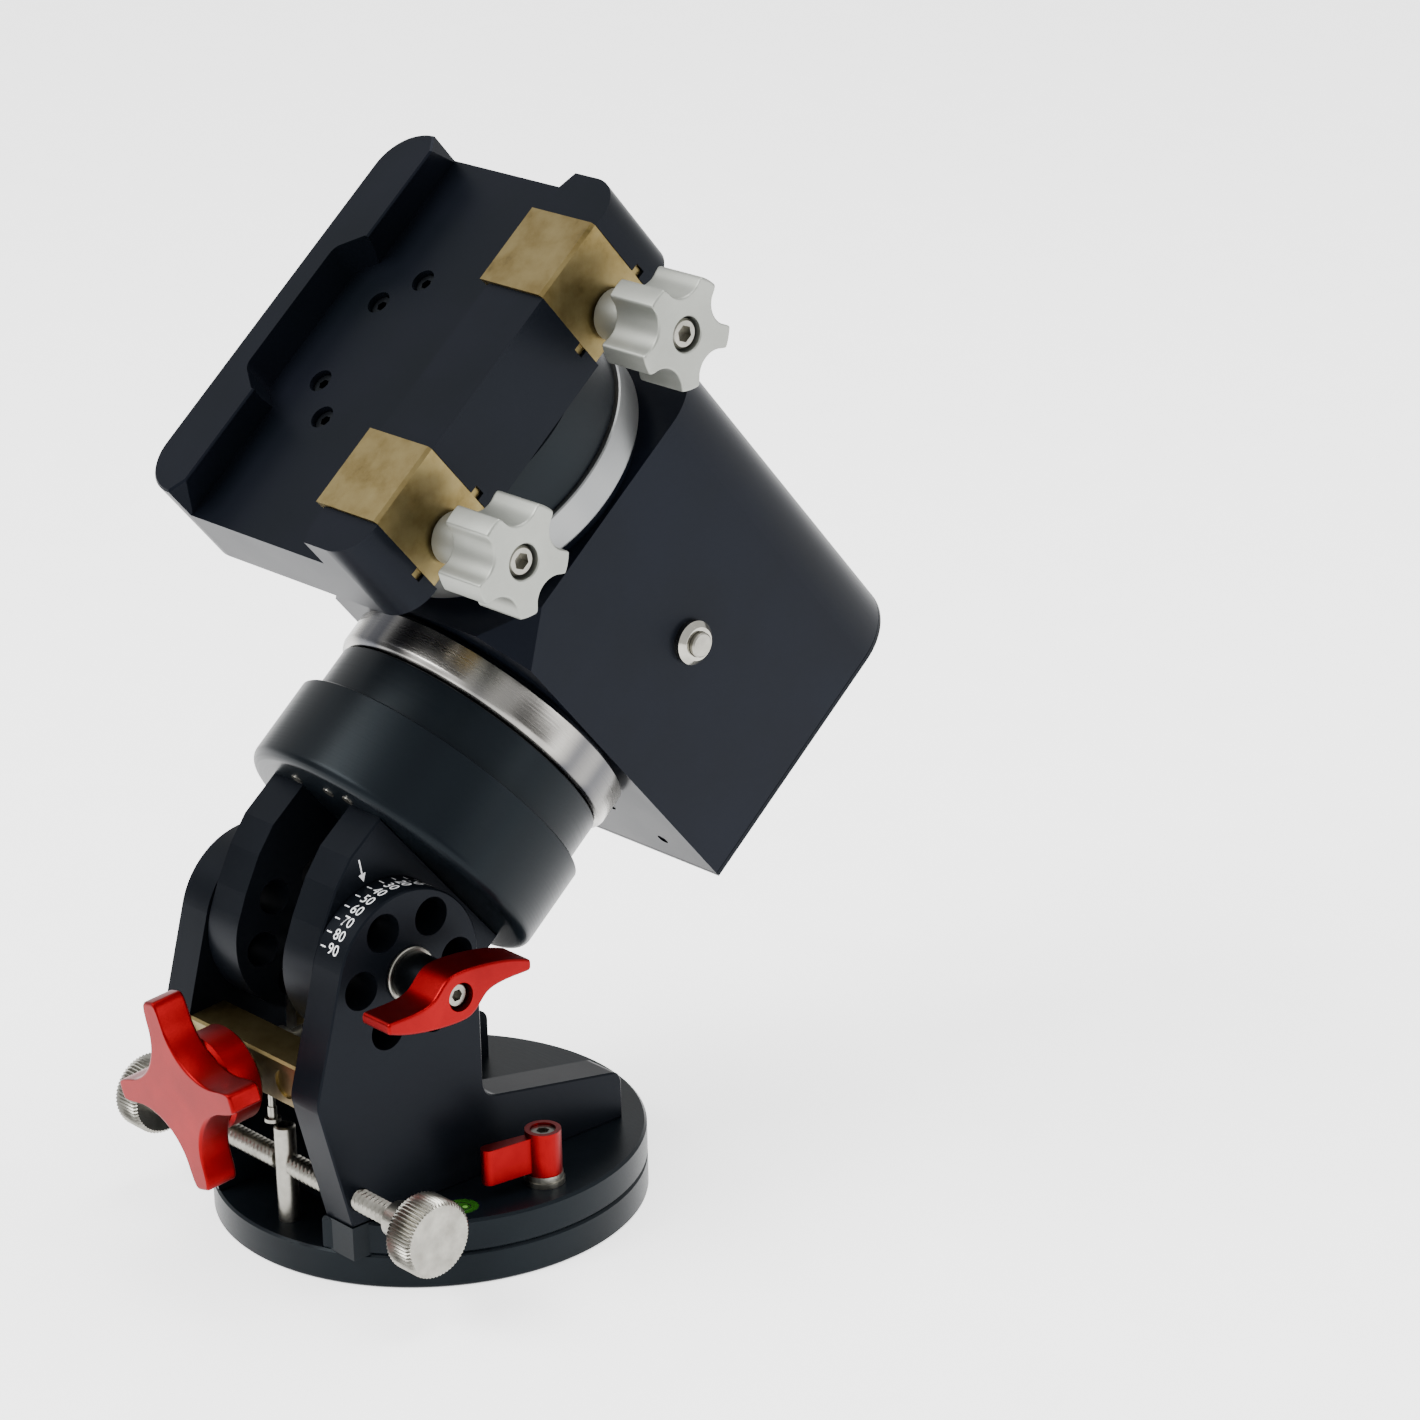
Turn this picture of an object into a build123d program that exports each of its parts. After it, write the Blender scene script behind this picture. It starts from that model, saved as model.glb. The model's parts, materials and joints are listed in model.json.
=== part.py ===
from build123d import *
import math
import os

# Star tracker mount: strain-wave equatorial head on an altitude-azimuth wedge.
# Millimetres, +Z up. The altitude axis is parallel to X, the red tilt knob
# is at the front (-Y), and the origin is the bottom centre of the base.

os.makedirs("parts", exist_ok=True)

# ---------------------------------------------------------------- clearances
RUN = 0.05            # radial gap of a shaft that turns in its bore
THRUST = 0.05         # axial gap between faces that turn on each other
SIDE = 0.30           # gap between a clevis plate and its yoke plate
GUIDE = 0.06          # gap of a sliding piece in its guide
POCKET = 0.20         # gap of a fixed piece in its pocket
TIP_GAP = 0.10        # thumb screw tip to post

# ---------------------------------------------------------------- base
BASE_R = 56.5
BASE_T = 9.0
SPIGOT_R = 14.0
SPIGOT_H = 5.5
TRIPOD_R = 3.97       # 3/8"-16 thread
TRIPOD_DEPTH = 11.0
RETAINER_R = 19.5
RETAINER_T = 2.5
RETAINER_SCREW_PCR = 9.5
POST_X = 2.4
POST_Y = -47.8
POST_R = 2.8
POST_TOP = 35.1
POST_HOLE_R = 1.7
POST_TAIL_R = 2.0
POST_TAIL_DEPTH = 6.0

# ---------------------------------------------------------------- turntable
TURN_TOP = 18.0
SLOT_HALF = 21.8
SLOT_BACK_Y = -36.0
LUG_FRONT_Y = -51.0
EDGE_CHAMFER = 0.7
PLATE_CHAMFER = 0.4
LEVEL_X = 42.1
LEVEL_Y = -23.7
LEVEL_R = 5.0
LEVEL_DEPTH = 5.0

# ---------------------------------------------------------------- yoke
PIVOT_Y = -29.3
PIVOT_Z = 80.0
YOKE_IN = 21.8
YOKE_T = 10.6
YOKE_R = 21.8
YOKE_FOOT_END_Y = 38.3
YOKE_FOOT_START = (-2.3, 38.3)
YOKE_FOOT_TIP = (34.8, 31.7)
YOKE_FRONT_TOE_Y = -50.5
YOKE_NOSE = (-59.5, 53.5)
YOKE_NOSE_R = 7.0
YOKE_HEEL_R = 5.0
LIGHT_HOLES = 6
LIGHT_R = 5.0
LIGHT_PCR = 15.0
FOOT_SCREW_Y = (-40.0, -8.0, 24.0)
FOOT_SCREW_R = 2.0
FOOT_HEAD_R = 3.5
FOOT_HEAD_H = 4.0
FOOT_SCREW_L = 18.0

# ---------------------------------------------------------------- axle
AXLE_R = 4.0
AXLE_HEAD_R = 7.0
AXLE_HEAD_H = 3.6
AXLE_END_X = 45.0

# ---------------------------------------------------------------- pivot lever
PIVOT_BUSH_R = 6.2
PIVOT_WASHER_R = 7.2
PIVOT_WASHER_T = 1.1
PIVOT_WING_X0 = 42.2
PIVOT_WING_X1 = 52.3
PIVOT_WING_REACH = 22.4
PIVOT_WING_EDGE = (
    (-22.4, -0.2),
    (-17.5, -0.1),
    (-12.5, 0.2),
    (-8.3, 1.5),
    (-5.8, 3.9),
    (-3.2, 5.9),
    (0.8, 6.6),
    (7.5, 6.3),
    (15.8, 5.0),
    (22.4, 2.9),
)
PIVOT_WING_ROUND = 0.7
PIVOT_RECESS_R = 3.7
PIVOT_RECESS_DEPTH = 5.5
PIVOT_CAP_R = 3.1

# ---------------------------------------------------------------- tilt drive
TILT_DEG = 5.0        # slope of the tilt screw
TILT_FACE_Y = -78.5   # front face of the knob on its axis
TILT_FACE_Z = 52.1
STAR_R = 25.0
STAR_VALLEY_R = 11.5
STAR_TIP_W = 6.0
STAR_T = 9.0
STAR_TURN = 14.5
HUB_R = 12.5
HUB_LEN = 9.0
NECK_R = 5.0
BAR_FRONT = 21.5      # distance behind the knob face, along the axis
BAR_DEPTH = 11.5
BAR_HEIGHT = 12.5
BAR_TENON_R = 4.0
BAR_TENON_L = 5.0
TILT_SCREW_R = 3.0
TILT_SCREW_END = 68.5
TILT_COLLAR_R = 5.0
TILT_COLLAR_T = 2.0
NUT_LEN = 7.0
NUT_HALF_W = 5.0
NUT_H = 11.0
TRUNNION_R = 2.5
FORK_SLOT_W = 6.0
FORK_IN = 5.3
FORK_W = 13.0
MID_ALTITUDE = 47.0   # altitude at which fork and screw stand square
STUD_X = 0.0
STUD_Y = -49.5
STUD_BOTTOM = 36.0
SPOT_X = 16.5
SPOT_R = 3.9

# ---------------------------------------------------------------- thumb screws
THUMB_Z = 24.8
THUMB_R = 3.0
THUMB_RIM_GAP = 9.77  # from the turntable's rim to the head, beside the lower half of the head
THUMB_HEAD_R = 10.0
THUMB_HEAD_T = 9.0
THUMB_COLLAR_R = 4.75
THUMB_COLLAR_T = 8.0
FLUTES = 30
FLUTE_R = 0.8

# ---------------------------------------------------------------- azimuth lever
AZ_X = 46.0
AZ_Y = 0.0
AZ_WASHER_R = 5.25
AZ_WASHER_TOP = 21.0
AZ_HUB_R = 4.65
AZ_HUB_TOP = 32.7
AZ_TIP_X = 43.2
AZ_TIP_Y = -15.5
AZ_TIP_R = 2.0
AZ_ARM_R = 1.3
AZ_ARM_BOTTOM = 22.0
AZ_ARM_TOP = 31.5
AZ_SCREW_R = 2.4
AZ_RECESS_R = 3.3
AZ_RECESS_DEPTH = 3.6

# ---------------------------------------------------------------- altitude block
ALTITUDE = 40.0
CLEVIS_IN = 9.5
CLEVIS_R = 21.4
CLEVIS_HOLE_R = 4.6
CLEVIS_HOLE_PCR = 13.6
DRUM_U0 = 25.5
DRUM_U1 = 48.9
DRUM_R = 42.0
MID_U1 = 61.9
MID_R = 38.6
RING_R = 40.0
RING_U1 = 72.3
REGISTER_R = 37.0
DRIVE_BORE_R = 22.75
BEARING_R = 31.0
BEARING_IN_R = 24.0
CUP_R = 21.8
CUP_WALL = 0.8
TOOTH_H = 0.8

# ---------------------------------------------------------------- head housing
HEAD_X = 38.6
HEAD_U0 = 73.8
HEAD_U1 = 164.0
HEAD_V1 = 39.8
COVER_V0 = -64.4
COVER_T = 2.2
HEAD_WALL = 4.0
HEAD_CORNER_R = 19.8
FACET_X = 13.4
FACET_U = 13.2
FACET_V = 9.3
WAVE_BORE_R = 12.0
WAVE_SHAFT_R = 5.0
WAVE_PULLEY_R = 15.0
MOTOR_PULLEY_R = 7.5
BELT_T = 1.4
PULLEY_W = 6.0
MOTOR_SIZE = 35.0
MOTOR_SHAFT_R = 2.5
RA_MOTOR_V = -40.0
RA_PULLEY_U = 79.0
RA_WEB_U = 86.0
WEB_T = 3.0
RA_MOTOR_LEN = 25.0
DEC_U = 117.0
DEC_MOTOR_U = 141.0
DEC_PULLEY_V = 4.6
DEC_WEB_V = 0.0
DEC_MOTOR_LEN = 32.0
BUTTON_U = 110.4
BUTTON_V = -7.7
BEZEL_R = 5.75
BEZEL_BORE_R = 3.4
BEZEL_OUT = 3.0
CAP_R = 3.25
CAP_OUT = 4.4
BUTTON_TRAVEL = 1.5
PORT_V = -51.0
COVER_SCREW_R = 1.5
SEAM = 0.25
END_SCREW_SPOTS = ((12.0, -43.0), (25.0, -52.7), (-12.0, -43.0), (-25.0, -52.7))
END_SCREW_R = 1.6
COVER_SCREW_INSET = 6.8     # from the nearest side or front face of the housing
COVER_SCREW_MID_U = 106.0
COVER_SCREW_REAR_X = 22.0
COVER_SCREW_REAR_INSET = 7.5

# ---------------------------------------------------------------- declination
DEC_RING_V0 = 43.0
DEC_RING_V1 = 53.3
DEC_FLANGE_V1 = 69.7
DEC_STEP_R = 34.0

# ---------------------------------------------------------------- saddle
SADDLE_U0 = 59.5
SADDLE_U1 = 173.5
SADDLE_V0 = 71.2
FLOOR_V = 88.7
STRIP_TOP_V = 98.7
STRIP_X0 = -44.0
STRIP_X1 = -28.2
BLOCK_TOP_V = 97.3
BLOCK_X0 = 20.0
BLOCK_X1 = 40.0
DOVETAIL_DEG = 15.0
STRIP_CORNER_R = 12.0
BLOCK_CORNER_R = 10.0
LEAD_X = 3.0
LEAD_U = 4.5
RECESS_U0 = 92.5
RECESS_U1 = 141.2
RECESS_X = -36.5
RECESS_SLOPE = 5.4
SADDLE_CHAMFER = 0.5
SADDLE_BOLT_PCR = 25.0
SADDLE_BOLT_ANGLES = (60, 120, 150, 210, 240, 300)
SADDLE_CBORE_R = 3.2
SADDLE_CBORE_DEPTH = 4.5
SADDLE_HEAD_R = 2.75
SADDLE_SHANK_R = 1.5
JAW_U = (70.0, 138.5)
JAW_W = 22.4
JAW_X0 = 17.3
JAW_X1 = 39.8
JAW_BODY_X0 = 21.2
JAW_BOTTOM_V = 71.5
JAW_TOP_V = 98.2
JAW_POCKET_X0 = 16.9
RIB_V0 = 77.0
RIB_V1 = 80.0
RIB_OUT = 2.2
JAW_KNOB_V = 77.3
JAW_SCREW_R = 3.0
JAW_SCREW_X0 = 3.0
JAW_BOSS_R = 6.5
JAW_BOSS_X0 = 40.3
JAW_STAR_X0 = 51.5
JAW_STAR_X1 = 67.0
JAW_STAR_R = 14.0
JAW_STAR_VALLEY_R = 9.3
JAW_STAR_TIP_W = 5.5
JAW_RECESS_R = 4.4
JAW_RECESS_DEPTH = 5.0
JAW_HEAD_R = 3.7


# ---------------------------------------------------------------- helpers
def tube_z(radius, z0, z1, x=0.0, y=0.0):
    """Cylinder parallel to Z between two heights."""
    return Pos(x, y, (z0 + z1) / 2) * Cylinder(radius, z1 - z0)


def tube_x(radius, x0, x1, y=0.0, z=0.0):
    """Cylinder parallel to X between two stations."""
    return Pos((x0 + x1) / 2, y, z) * Rot(0, 90, 0) * Cylinder(radius, x1 - x0)


def tube_y(radius, y0, y1, x=0.0, z=0.0):
    """Cylinder parallel to Y between two stations."""
    return Pos(x, (y0 + y1) / 2, z) * Rot(90, 0, 0) * Cylinder(radius, y1 - y0)


def block(x0, x1, y0, y1, z0, z1):
    """Box between six planes."""
    return Pos((x0 + x1) / 2, (y0 + y1) / 2, (z0 + z1) / 2) * Box(x1 - x0, y1 - y0, z1 - z0)


def slab_yz(face, x0, x1):
    """Extrude a flat face drawn in (Y, Z) from x0 to x1."""
    return extrude(Plane.YZ.offset(x0) * face, amount=x1 - x0)


def slab_xy(face, z0, z1):
    """Extrude a flat face drawn in (X, Y) from z0 to z1."""
    return extrude(Plane.XY.offset(z0) * face, amount=z1 - z0)


def nearest_vertex(face, x, y):
    """The corner of a flat face that lies nearest a given place."""
    return min(face.vertices(), key=lambda p: math.hypot(p.X - x, p.Y - y))


def soften(face, x, y, radius):
    """Round the corner of a flat face nearest a given place."""
    return fillet(nearest_vertex(face, x, y), radius)


def tangent_from(px, py, cx, cy, radius, side):
    """Point where a line from (px, py) touches a circle; side is +1 or -1."""
    away = math.hypot(cx - px, cy - py)
    toward = math.atan2(py - cy, px - cx)
    spread = math.acos(radius / away)
    angle = toward + side * spread
    return (cx + radius * math.cos(angle), cy + radius * math.sin(angle))


def star_face(lobes, tip_r, valley_r, tip_w, turn):
    """A disc with one round scallop between each pair of lobes."""
    half = math.pi / lobes
    edge = half - tip_w / 2 / tip_r
    ex = tip_r * math.cos(edge)
    ey = tip_r * math.sin(edge)
    scallop = (ex * ex + ey * ey - 2 * ex * valley_r + valley_r * valley_r) / (2 * (ex - valley_r))
    centre = valley_r + scallop
    face = Circle(tip_r)
    for k in range(lobes):
        a = math.radians(turn) + half + k * 2 * half
        face -= Pos(centre * math.cos(a), centre * math.sin(a)) * Circle(scallop)
    return face


def hull_face(r1, x1, y1, r2, x2, y2):
    """Two discs joined by their outer tangents."""
    dx = x2 - x1
    dy = y2 - y1
    away = math.hypot(dx, dy)
    base = math.atan2(dy, dx)
    lean = math.acos((r1 - r2) / away)
    corners = []
    for side in (1, -1):
        a = base + side * lean
        pair = [(x1 + r1 * math.cos(a), y1 + r1 * math.sin(a)), (x2 + r2 * math.cos(a), y2 + r2 * math.sin(a))]
        corners.extend(pair if side == 1 else reversed(pair))
    web = make_face(Polyline(*corners, close=True))
    return Pos(x1, y1) * Circle(r1) + web + Pos(x2, y2) * Circle(r2)


def socket_x(radius, x_face, depth, y, z):
    """Hexagon socket cut into a face that looks along +X."""
    face = RegularPolygon(radius, 6)
    return extrude(Plane.YZ.offset(x_face - depth) * Pos(y, z) * face, amount=depth)


def socket_z(radius, z_face, depth, x, y):
    """Hexagon socket cut into a face that looks along +Z."""
    face = RegularPolygon(radius, 6)
    return extrude(Plane.XY.offset(z_face - depth) * Pos(x, y) * face, amount=depth)


def one_solid(shape):
    """The single solid of a result, without its wrapper."""
    solids = shape.solids()
    return solids[0] if len(solids) == 1 else Compound(children=list(solids))


NODES = {}


def keep(name, shape, place=None):
    """Store a finished piece in world coordinates under its node name."""
    if place is not None:
        shape = place * shape
    NODES[name] = one_solid(shape)


# placements: HEAD carries (x, u, v) drawn as (X, Y, Z) to the tilted head,
# TILT carries the tilt screw drawn along +Y from the knob face.
HEAD = Pos(0, PIVOT_Y, PIVOT_Z) * Rot(ALTITUDE, 0, 0)
TILT = Pos(0, TILT_FACE_Y, TILT_FACE_Z) * Rot(TILT_DEG, 0, 0)

CLEVIS_OUT = YOKE_IN - SIDE
YOKE_OUT = YOKE_IN + YOKE_T
SPIGOT_TOP = BASE_T + SPIGOT_H
JAW_SLOT_W = JAW_W + 2 * GUIDE

# ================================================================ base
disc = tube_z(BASE_R, 0, BASE_T)
disc = chamfer(disc.edges().filter_by(GeomType.CIRCLE), EDGE_CHAMFER)
base = disc + tube_z(SPIGOT_R, BASE_T, SPIGOT_TOP)
base -= tube_z(TRIPOD_R, 0, TRIPOD_DEPTH)
base -= tube_z(POST_TAIL_R, BASE_T - POST_TAIL_DEPTH, BASE_T, POST_X, POST_Y)
retainer = tube_z(RETAINER_R, SPIGOT_TOP, SPIGOT_TOP + RETAINER_T)
screws = None
for k in range(3):
    a = math.radians(90 + 120 * k)
    sx = RETAINER_SCREW_PCR * math.cos(a)
    sy = RETAINER_SCREW_PCR * math.sin(a)
    base -= tube_z(1.5, SPIGOT_TOP - 6.0, SPIGOT_TOP, sx, sy)
    retainer -= tube_z(1.5, SPIGOT_TOP, SPIGOT_TOP + RETAINER_T, sx, sy)
    retainer -= tube_z(3.0, SPIGOT_TOP + 1.0, SPIGOT_TOP + RETAINER_T, sx, sy)
    one = tube_z(1.5, SPIGOT_TOP - 6.0, SPIGOT_TOP + 1.0, sx, sy)
    one += tube_z(2.75, SPIGOT_TOP + 1.0, SPIGOT_TOP + 3.2, sx, sy)
    one -= socket_z(1.4, SPIGOT_TOP + 3.2, 1.3, sx, sy)
    screws = one if screws is None else screws + one
keep("base_disc", base)
keep("azimuth_retainer", retainer)
keep("azimuth_retainer_screws", screws)

post = tube_z(POST_R, BASE_T, POST_TOP, POST_X, POST_Y)
post = chamfer(post.edges().filter_by(GeomType.CIRCLE).sort_by(Axis.Z)[-1:], 0.4)
post += tube_z(POST_TAIL_R, BASE_T - POST_TAIL_DEPTH, BASE_T, POST_X, POST_Y)
post -= tube_z(POST_HOLE_R, POST_TOP - 12.0, POST_TOP, POST_X, POST_Y)
keep("azimuth_post", post)

# ================================================================ turntable
TURN_Z0 = BASE_T + THRUST
turn = tube_z(BASE_R, TURN_Z0, TURN_TOP)
turn = chamfer(turn.edges().filter_by(GeomType.CIRCLE), EDGE_CHAMFER)
for side in (1, -1):
    x0 = min(side * YOKE_IN, side * (YOKE_OUT + 0.3))
    x1 = max(side * YOKE_IN, side * (YOKE_OUT + 0.3))
    turn += block(x0, x1, LUG_FRONT_Y, LUG_FRONT_Y + 12.0, TURN_Z0, TURN_TOP)
turn -= block(-SLOT_HALF, SLOT_HALF, -BASE_R - 5, SLOT_BACK_Y, TURN_Z0 - 1, TURN_TOP + 1)
turn -= tube_z(SPIGOT_R + RUN, TURN_Z0, TURN_TOP)
turn -= tube_z(RETAINER_R + POCKET, SPIGOT_TOP - THRUST, TURN_TOP)
turn -= tube_z(LEVEL_R, TURN_TOP - LEVEL_DEPTH, TURN_TOP, LEVEL_X, LEVEL_Y)
turn -= tube_z(AZ_SCREW_R + RUN, TURN_Z0, TURN_TOP, AZ_X, AZ_Y)
FOOT_X = YOKE_IN + YOKE_T / 2
foot_screws = None
for side in (1, -1):
    for fy in FOOT_SCREW_Y:
        fx = side * FOOT_X
        turn -= tube_z(FOOT_HEAD_R + POCKET, TURN_Z0, TURN_Z0 + 0.4 + FOOT_HEAD_H, fx, fy)
        turn -= tube_z(FOOT_SCREW_R, TURN_Z0, TURN_TOP, fx, fy)
        one = tube_z(FOOT_HEAD_R, TURN_Z0 + 0.4, TURN_Z0 + 0.4 + FOOT_HEAD_H, fx, fy)
        one += tube_z(FOOT_SCREW_R, TURN_Z0 + 0.4 + FOOT_HEAD_H, TURN_TOP + FOOT_SCREW_L - 8.0, fx, fy)
        foot_screws = one if foot_screws is None else foot_screws + one
keep("turntable_disc", turn)
keep("yoke_foot_screws", foot_screws)

case = tube_z(LEVEL_R, TURN_TOP - LEVEL_DEPTH, TURN_TOP, LEVEL_X, LEVEL_Y)
case -= tube_z(LEVEL_R - 0.8, TURN_TOP - LEVEL_DEPTH + 0.8, TURN_TOP, LEVEL_X, LEVEL_Y)
keep("level_case", case)
vial = tube_z(LEVEL_R - 0.8, TURN_TOP - LEVEL_DEPTH + 0.8, TURN_TOP - 0.2, LEVEL_X, LEVEL_Y)
keep("level_vial", vial)

# ================================================================ yoke plates
nose_touch = tangent_from(YOKE_NOSE[0], YOKE_NOSE[1], PIVOT_Y, PIVOT_Z, YOKE_R, -1)
yoke_right_y = PIVOT_Y + YOKE_R
foot_slope = (YOKE_FOOT_TIP[1] - YOKE_FOOT_START[1]) / (YOKE_FOOT_TIP[0] - YOKE_FOOT_START[0])
foot_root_z = YOKE_FOOT_START[1] + foot_slope * (yoke_right_y - YOKE_FOOT_START[0])
foot_end_z = YOKE_FOOT_START[1] + foot_slope * (YOKE_FOOT_END_Y - YOKE_FOOT_START[0])
outline = Polyline(
    (yoke_right_y, PIVOT_Z),
    (yoke_right_y, foot_root_z),
    (YOKE_FOOT_END_Y, foot_end_z),
    (YOKE_FOOT_END_Y, TURN_TOP),
    (YOKE_FRONT_TOE_Y, TURN_TOP),
    YOKE_NOSE,
    nose_touch,
    (PIVOT_Y, PIVOT_Z),
    close=True,
)
yoke_face = make_face(outline)
yoke_face = soften(yoke_face, yoke_right_y, foot_root_z, YOKE_HEEL_R)
yoke_face = soften(yoke_face, YOKE_FOOT_END_Y, foot_end_z, 3.5)
yoke_face = soften(yoke_face, YOKE_NOSE[0], YOKE_NOSE[1], YOKE_NOSE_R)
yoke_face = yoke_face + Pos(PIVOT_Y, PIVOT_Z) * Circle(YOKE_R)
for k in range(LIGHT_HOLES):
    a = math.radians(60 * k)
    yoke_face -= Pos(PIVOT_Y + LIGHT_PCR * math.cos(a), PIVOT_Z + LIGHT_PCR * math.sin(a)) * Circle(LIGHT_R)

# the bar's axis crosses the yoke at this height
BAR_MID = BAR_FRONT + BAR_DEPTH / 2
bar_mid_y = TILT_FACE_Y + BAR_MID * math.cos(math.radians(TILT_DEG))
bar_mid_z = TILT_FACE_Z + BAR_MID * math.sin(math.radians(TILT_DEG))
for side, name in ((1, "yoke_plate_right"), (-1, "yoke_plate_left")):
    lo = YOKE_IN if side == 1 else -YOKE_OUT
    hi = YOKE_OUT if side == 1 else -YOKE_IN
    plate = slab_yz(yoke_face, lo, hi)
    outer = plate.faces().sort_by(Axis.X)[-1 if side == 1 else 0]
    plate = chamfer(outer.outer_wire().edges(), PLATE_CHAMFER)
    plate -= tube_x(AXLE_R, lo, hi, PIVOT_Y, PIVOT_Z)
    plate -= tube_x(THUMB_R + RUN, lo, hi, POST_Y, THUMB_Z)
    tenon_lo = YOKE_IN if side == 1 else -YOKE_IN - BAR_TENON_L
    plate -= tube_x(BAR_TENON_R, tenon_lo, tenon_lo + BAR_TENON_L, bar_mid_y, bar_mid_z)
    for fy in FOOT_SCREW_Y:
        plate -= tube_z(FOOT_SCREW_R, TURN_TOP, TURN_TOP + FOOT_SCREW_L - 8.0, side * FOOT_X, fy)
    keep(name, plate)

# ================================================================ altitude axle
axle = tube_x(AXLE_R, -YOKE_OUT, AXLE_END_X, PIVOT_Y, PIVOT_Z)
head = tube_x(AXLE_HEAD_R, -YOKE_OUT - AXLE_HEAD_H, -YOKE_OUT, PIVOT_Y, PIVOT_Z)
head = fillet(head.edges().filter_by(GeomType.CIRCLE).sort_by(Axis.X)[:1], 1.4)
axle += head
axle -= extrude(
    Plane.YZ.offset(-YOKE_OUT - AXLE_HEAD_H) * Pos(PIVOT_Y, PIVOT_Z) * RegularPolygon(2.9, 6),
    amount=2.4,
)
keep("altitude_axle", axle)

# ================================================================ pivot lever
BUSH_X0 = YOKE_OUT + THRUST
bush = tube_x(PIVOT_BUSH_R, BUSH_X0, PIVOT_WING_X0, PIVOT_Y, PIVOT_Z)
bush += tube_x(PIVOT_WASHER_R, BUSH_X0, BUSH_X0 + PIVOT_WASHER_T, PIVOT_Y, PIVOT_Z)
bush -= tube_x(AXLE_R + RUN, BUSH_X0, PIVOT_WING_X0, PIVOT_Y, PIVOT_Z)
keep("pivot_lever_bush", bush)
upper_edge = Spline(*PIVOT_WING_EDGE)
lower_edge = Spline(*[(-p[0], -p[1]) for p in PIVOT_WING_EDGE])
front_end = Line(PIVOT_WING_EDGE[0], (-PIVOT_WING_EDGE[-1][0], -PIVOT_WING_EDGE[-1][1]))
rear_end = Line(PIVOT_WING_EDGE[-1], (-PIVOT_WING_EDGE[0][0], -PIVOT_WING_EDGE[0][1]))
wing_face = make_face([upper_edge, rear_end, lower_edge, front_end])
wing_ends = [p for p in wing_face.vertices() if abs(abs(p.X) - PIVOT_WING_REACH) < 0.01]
wing_face = fillet(wing_ends, 1.0)
wing = slab_yz(Pos(PIVOT_Y, PIVOT_Z) * wing_face, PIVOT_WING_X0, PIVOT_WING_X1)
wing = fillet(wing.faces().sort_by(Axis.X)[-1].edges(), PIVOT_WING_ROUND)
wing -= tube_x(AXLE_R + RUN, PIVOT_WING_X0, AXLE_END_X + 0.5, PIVOT_Y, PIVOT_Z)
wing -= tube_x(PIVOT_RECESS_R, PIVOT_WING_X1 - PIVOT_RECESS_DEPTH, PIVOT_WING_X1, PIVOT_Y, PIVOT_Z)
keep("pivot_lever", wing)
cap_x1 = PIVOT_WING_X1 - 1.6
cap = tube_x(PIVOT_CAP_R, PIVOT_WING_X1 - PIVOT_RECESS_DEPTH, cap_x1, PIVOT_Y, PIVOT_Z)
cap = chamfer(cap.edges().filter_by(GeomType.CIRCLE).sort_by(Axis.X)[-1:], 0.4)
cap -= socket_x(1.6, cap_x1, 2.2, PIVOT_Y, PIVOT_Z)
keep("pivot_lever_screw", cap)

# ================================================================ tilt bar and stud
bar = block(-YOKE_IN, YOKE_IN, BAR_FRONT, BAR_FRONT + BAR_DEPTH, -BAR_HEIGHT / 2, BAR_HEIGHT / 2)
bar = chamfer(bar.edges().filter_by(Axis.X), 0.6)
for side in (1, -1):
    lo = YOKE_IN if side == 1 else -YOKE_IN - BAR_TENON_L
    bar += tube_x(BAR_TENON_R, lo, lo + BAR_TENON_L, BAR_MID, 0)
    bar -= tube_y(SPOT_R, BAR_FRONT, BAR_FRONT + 0.6, side * SPOT_X, 0)
bar -= tube_y(TILT_SCREW_R + RUN, BAR_FRONT, BAR_FRONT + BAR_DEPTH, 0, 0)
stud_along = (STUD_Y - TILT_FACE_Y) / math.cos(math.radians(TILT_DEG)) - 0.3
bar_world = TILT * bar
stud_top = TILT_FACE_Z + (STUD_Y - TILT_FACE_Y) * math.tan(math.radians(TILT_DEG)) - BAR_HEIGHT / 2 + 2.0
stud = tube_z(0.9, STUD_BOTTOM + 1.2, stud_top, STUD_X, STUD_Y)
bar_world -= stud
stud += tube_z(1.2, STUD_BOTTOM, STUD_BOTTOM + 4.0, STUD_X, STUD_Y)
stud += tube_z(2.1, STUD_BOTTOM, STUD_BOTTOM + 0.9, STUD_X, STUD_Y)
keep("tilt_bar", bar_world)
keep("tilt_stud", stud)

# ================================================================ tilt knob and screw
star = extrude(
    Plane.XZ * star_face(4, STAR_R, STAR_VALLEY_R, STAR_TIP_W, 90 + STAR_TURN),
    amount=-STAR_T,
)
knob = star + tube_y(HUB_R, STAR_T, STAR_T + HUB_LEN, 0, 0)
knob -= tube_y(TILT_SCREW_R, 2.0, STAR_T + HUB_LEN, 0, 0)
keep("tilt_knob", knob, TILT)
screw = tube_y(TILT_SCREW_R, 2.0, TILT_SCREW_END, 0, 0)
screw += tube_y(NECK_R, STAR_T + HUB_LEN, BAR_FRONT - THRUST, 0, 0)
COLLAR_Y0 = BAR_FRONT + BAR_DEPTH + THRUST
screw += tube_y(TILT_COLLAR_R, COLLAR_Y0, COLLAR_Y0 + TILT_COLLAR_T, 0, 0)
keep("tilt_screw", screw, TILT)

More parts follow.
